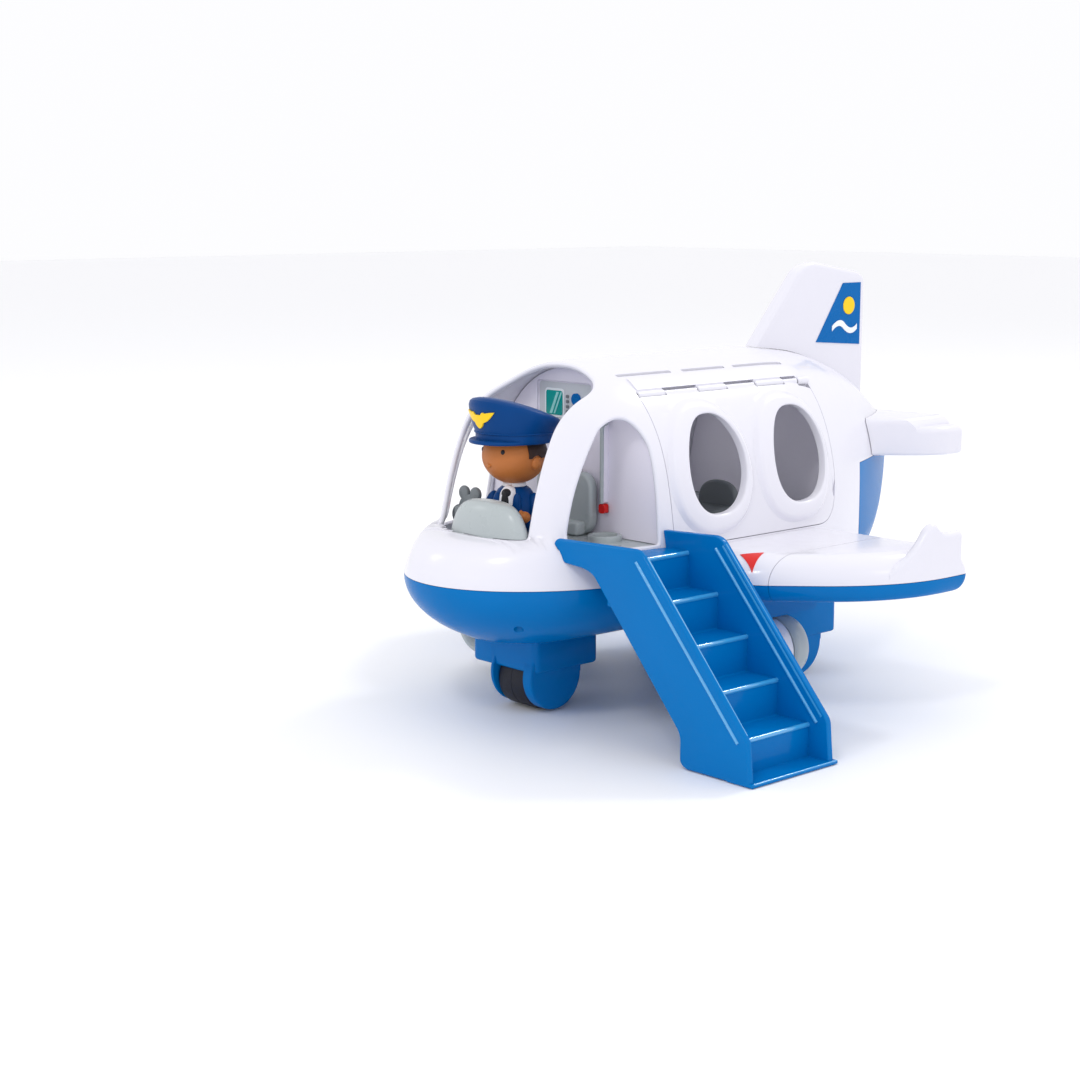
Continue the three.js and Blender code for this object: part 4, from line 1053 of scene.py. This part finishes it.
def on_face(name, turn, z, radii, depth=0.3):
    """A small feature on the front of the head, at an angle from its middle."""
    scale = sqrt(max(0.0, 1 - ((z - FACE_Z) / (FACE_Z - CHIN)) ** 2))
    a = radians(turn)
    at = ((14.4 * scale - depth) * sin(a), -(14.2 * scale - depth) * cos(a), z)
    return around_pilot(ellipsoid(name, at, radii, turn, 24, 14), HEAD_TURN)


CAP_FIT = Matrix.Translation((0, 0.8, 0)) @ Matrix.Diagonal((1.02, 1.04, 1, 1))


def pilot_cap():
    """A peaked cap: a straight band, a wide soft crown that is taller in front, and a short brim."""
    profile = [(15.9, 0.0, 0), (16.6, 0.3, 0), (17.0, 1.0, 0), (17.1, 4.4, 0), (17.4, 5.0, 0.2),
               (18.1, 6.4, 1.0), (18.9, 8.2, 2.4), (19.5, 9.8, 3.8), (19.8, 11.2, 4.8), (19.85, 12.3, 5.3),
                   (19.4, 13.4, 5.7),
               (18.3, 14.3, 5.7), (15.8, 15.1, 5.2), (12, 15.8, 4.1), (7, 16.3, 2.5), (2, 16.5, 0.8)]
    turn = full_turn(96)
    rings = [np.stack([r * np.cos(turn), r * np.sin(turn), RIM + z - lift * np.sin(turn)], -1)
             for r, z, lift in profile]
    made = skin("cap", rings)
    peak = trace((-15.6, -4), ((-15.2, -26.4), (15.2, -26.4), (15.6, -4)), steps=40)
    brim = prism("brim", "z", peak, RIM, RIM + 1.8, 0.7, 4)
    join(made, brim)
    join(made, tube("piping", [(17.3 * cos(t), 17.3 * sin(t), RIM + 4.7) for t in turn], 0.45,
                    [(0, 0, 1)] * len(turn), sides=10))
    made.data.transform(CAP_FIT)
    return around_pilot(made, HEAD_TURN)


def cap_badge():
    """A plain pair of wings with a round middle, laid on the front of the crown."""
    half = trace((0, -2.6), ((1.4, -2.4), (2.4, -0.6)), ((4.6, -0.4), (7.4, 3.0)), ((5.0, 2.9), (3.4, 2.4)),
                 ((2.6, 3.2), (1.7, 2.0)), ((0.9, 1.6), (0, 1.9)), steps=8)
    shape = half + [(-x, z) for x, z in reversed(half[1:-1])]
    made = prism("badge", "y", shape, -0.45, 0.45)
    work = bmesh.new()
    work.from_mesh(made.data)
    bmesh.ops.triangulate(work, faces=work.faces)
    bmesh.ops.subdivide_edges(work, edges=work.edges, cuts=2, use_grid_fill=True)
    for v in work.verts:
        a, z = v.co.x * 1.2 / 18.4, 10.4 + v.co.z * 1.35
        r = np.interp(z, [4.4, 7.4, 10.6, 13.6, 16], [17.1, 18.1, 18.9, 19.5, 19.8]) + v.co.y + 0.2
        v.co = Vector((r * sin(a), -r * cos(a), RIM + z))
    work.to_mesh(made.data)
    work.free()
    made.data.transform(CAP_FIT)
    return around_pilot(made, HEAD_TURN)


def pilot_shirt():
    made = ellipsoid("shirt", (0, -5.6, FOOT + 23.2), (4.9, 5.2, 9.0))
    join(made, turned("collar", "z", [(5.0, 29.4), (5.4, 30.0), (5.2, 32.4), (4.6, 33.2)], (0, 0, FOOT), 40))
    return around_pilot(made, BODY_TURN)


def pilot_tie():
    made = ellipsoid("tie", (0, -10.4, FOOT + 22.0), (1.9, 1.6, 8.4))
    join(made, ellipsoid("knot", (0, -8.8, FOOT + 28.8), (2.2, 1.9, 2.1)))
    return around_pilot(made, BODY_TURN)


def pilot_hand(side):
    x, y, lift = (9.8, -11.6, 19.2) if side > 0 else (-9.6, -3.2, 9.6)
    made = ellipsoid("hand", (x, y, FOOT + lift), (2.7, 2.9, 2.6), side * 20)
    join(made, ellipsoid("thumb", (x - side * 1.4, y - 0.6, FOOT + lift + 1.9), (1.0, 1.5, 1.3)))
    return around_pilot(made, BODY_TURN)


def pilot_piece(made, name, material, *nodes):
    made.name = name
    return piece(made, material, *nodes, body="pilot")


pilot_piece(pilot_jacket(), "pilot_jacket", NAVY, "pilot_body")
pilot_piece(pilot_head(), "pilot_face", SKIN, "pilot_head")
pilot_piece(pilot_hair(), "pilot_hair", HAIR)
pilot_piece(pilot_cap(), "pilot_peaked_cap", NAVY, "pilot_cap")
pilot_piece(cap_badge(), "pilot_cap_wings", YELLOW)
pilot_piece(pilot_shirt(), "pilot_shirt", SHIRT)
pilot_piece(pilot_tie(), "pilot_tie", TIE)
for side, label in ((1, "port"), (-1, "starboard")):
    pilot_piece(pilot_hand(side), f"pilot_{label}_hand", SKIN)
    pilot_piece(on_face("eye", side * 32, 116.6, (1.05, 0.7, 1.2)), f"pilot_{label}_eye", TIE)


# ---- stairs ----
RISE, RUN, NOSING_X = 15.4, 17.0, 141.0


def stair_wall(inner):
    """A side wall seen from the front: (x, z)."""
    foot, z0, top = 151.6, 18.5, 85.5
    return trace((foot, 0), (foot - 1.6, z0 - 1.5), ((foot - 2, z0), (foot - 3.2, z0 + 1.4)), (93, top - 2.4),
                 ((90.6, top), (87, top)), (inner + 3, top - 1.4), ((inner, top - 1.8), (inner, top - 4.6)),
                 (inner, 76.6), ((inner, 74.6), (inner + 4, 74.2)), (56, 73.4), ((62.5, 72.4), (64.8, 69.6)),
                 (112, 15.6), ((113.6, 13.4), (113.6, 11)), (113.6, 4), ((113.8, 0.6), (118, 0)), steps=8)


def stair_sheet():
    top, under = [], []
    for i in range(1, 6):
        x = NOSING_X - (i - 1) * RUN
        top += [(x, (i - 1) * RISE), (x, i * RISE)]
        under += [(x - WALL, 0 if i == 1 else (i - 1) * RISE - WALL), (x - WALL, i * RISE - WALL)]
    return [*top, (40, 5 * RISE), (40, 5 * RISE - WALL), *reversed(under)]


def bar(name, first, last, r):
    """A straight round bar between two points, used for the glossy stair edges, whose pale colour is a
    painted highlight.
    """
    return tube(name, np.linspace(first, last, 4), r, [(0, 1, 1)] * 4, closed=False, sides=20)


def boarding_stairs():
    y0, y1 = STAIR_Y
    made = prism("stair_flight", "y", stair_wall(39.5), y0, y0 + 3, 1.3, 4)
    join(made, prism("aft_wall", "y", stair_wall(52), y1 - 3, y1, 1.3, 4))
    join(made, prism("sheet", "y", stair_sheet(), y0 + 1.2, y1 - 1.2, 0.8, 4))
    join(made, block("flange", 139, 152.8, y0, y1 + 1.6, 0, 1.6, 0.5))
    cut(made, block("slot", 70, 74, y1 - 2.0, y1 - 1.0, 83, 90))
    return cut(made, hull("a", 0.3))


def stair_edges():
    """A raised line on each side wall, the walls' inner edges, the nosings and the bar at the foot, drawn in
    a paler blue as a painted highlight along the edges.
    """
    y0, y1 = STAIR_Y
    for y in (y0 + 0.1, y1 - 3.1):
        yield bar("stair_bead", (88.6, y, 80.4), (145, y, 16.4), 0.75)
    for y in (y0 + 1.75, y1 - 1.75):
        yield bar("stair_bead", (92.3, y, 81.9), (147.2, y, 19.2), 1.36)
    for i in range(1, 6):
        x, z = NOSING_X - (i - 1) * RUN - 0.7, i * RISE - 0.75
        yield bar("stair_nosing", (x, y0 + 1.5, z), (x, y1 - 1.5, z), 1.1)
    yield bar("stair_foot_bar", (152.2, y0 + 1.5, 1.05), (152.2, y1 + 1.1, 1.05), 0.6)


piece(boarding_stairs(), BLUE, "boarding_stairs", body="stairs")
# The stair edges are drawn in the paler blue as a painted highlight along them.
for stair_edge in stair_edges():
    piece(stair_edge, GLOSS_BLUE_PAINTED_HIGHLIGHT, body="stairs")


# ---- small prints on the wings ----
def wing_surface(x, y):
    """The height of the rounded top of the wing above a point of its plan."""
    insets = np.linspace(0, 12, 25)
    edge = []
    for inset in insets:
        plan = np.array(wing_plan(inset))[:17]
        edge.append(np.interp(x, plan[:, 0], plan[:, 1]))
    inset = float(np.interp(y, edge, insets))
    return SEAM_Z + 0.12 + (WING_TOP - SEAM_Z - 0.12) * sin(acos(1 - inset / 12))


def wing_triangle():
    """A red triangle that follows the round leading edge at the wing root."""
    left, right, apex = (np.array(p) for p in ((82.9, 104.9), (89.8, 112.5), (93.0, 101.4)))
    rings = []
    for t in np.linspace(0, 0.985, 14):
        a, b = left * (1 - t) + apex * t, right * (1 - t) + apex * t
        line = [a * (1 - u) + b * u for u in np.linspace(0, 1, 8)]
        line = np.array([(x, y, wing_surface(x, y)) for x, y in line])
        rings.append(np.concatenate([line + (0.1, -0.15, 0.25), line[::-1] + (-0.1, 0.3, -0.4)]))
    return skin("triangle", rings)


pair(wing_triangle, "{side}_wing_triangle", RED)

discard(OUTER, INNER, MIDDLE, CABIN, SHELL, top_stub)

for name in ("port_hinge_pin", "starboard_hinge_pin", "nose_axle", "port_main_axle", "starboard_main_axle"):
    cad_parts[name].data.materials.clear()
    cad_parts[name].data.materials.append(STEEL)

# ---- floor, light ----
floor_mesh = bpy.data.meshes.new("floor")
corners = [(x, y, -0.0003) for x, y in ((-6, -6), (6, -6), (6, 6), (-6, 6))]
floor_mesh.from_pydata(corners, [], [(0, 1, 2, 3)])
floor = link("floor", floor_mesh)
floor_mesh.materials.append(
    plastic("pale_floor", srgb(250, 250, 252), 0.5, grain=0.0, mottle=0.004, wear_and_sheen=1.0))
floor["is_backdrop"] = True

world = bpy.data.worlds.new("studio")
world.use_nodes = True
world.node_tree.nodes["Background"].inputs["Color"].default_value = (0.985, 0.985, 1.0, 1)
world.node_tree.nodes["Background"].inputs["Strength"].default_value = 1.0
bpy.context.scene.world = world
bpy.context.scene.view_settings.view_transform = "Standard"


def area_light(name, at, target, size, power, color=(1, 1, 1)):
    data = bpy.data.lights.new(name, "AREA")
    data.shape, data.size, data.energy, data.color = "SQUARE", size, power, color
    made = link(name, data)
    made.location = at
    made.rotation_euler = (Vector(target) - Vector(at)).to_track_quat("-Z", "Y").to_euler()


area_light("key", (0.5, -1.15, 1.4), (0, 0, 0.05), 0.28, 4.5)
area_light("left", (-1.2, -0.9, 0.9), (0, 0, 0.08), 0.4, 1.2)
area_light("back", (0.05, 1.25, 1.4), (0, 0, 0.05), 0.25, 6)
area_light("right", (1.5, 0.1, 1.0), (0, 0, 0.05), 0.35, 1.2, (0.95, 0.96, 1.0))

boxes = {"cad": CAD_BOX, "visual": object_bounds()}
sizes = {name: [list(map(float, corner)) for corner in box] for name, box in boxes.items()}
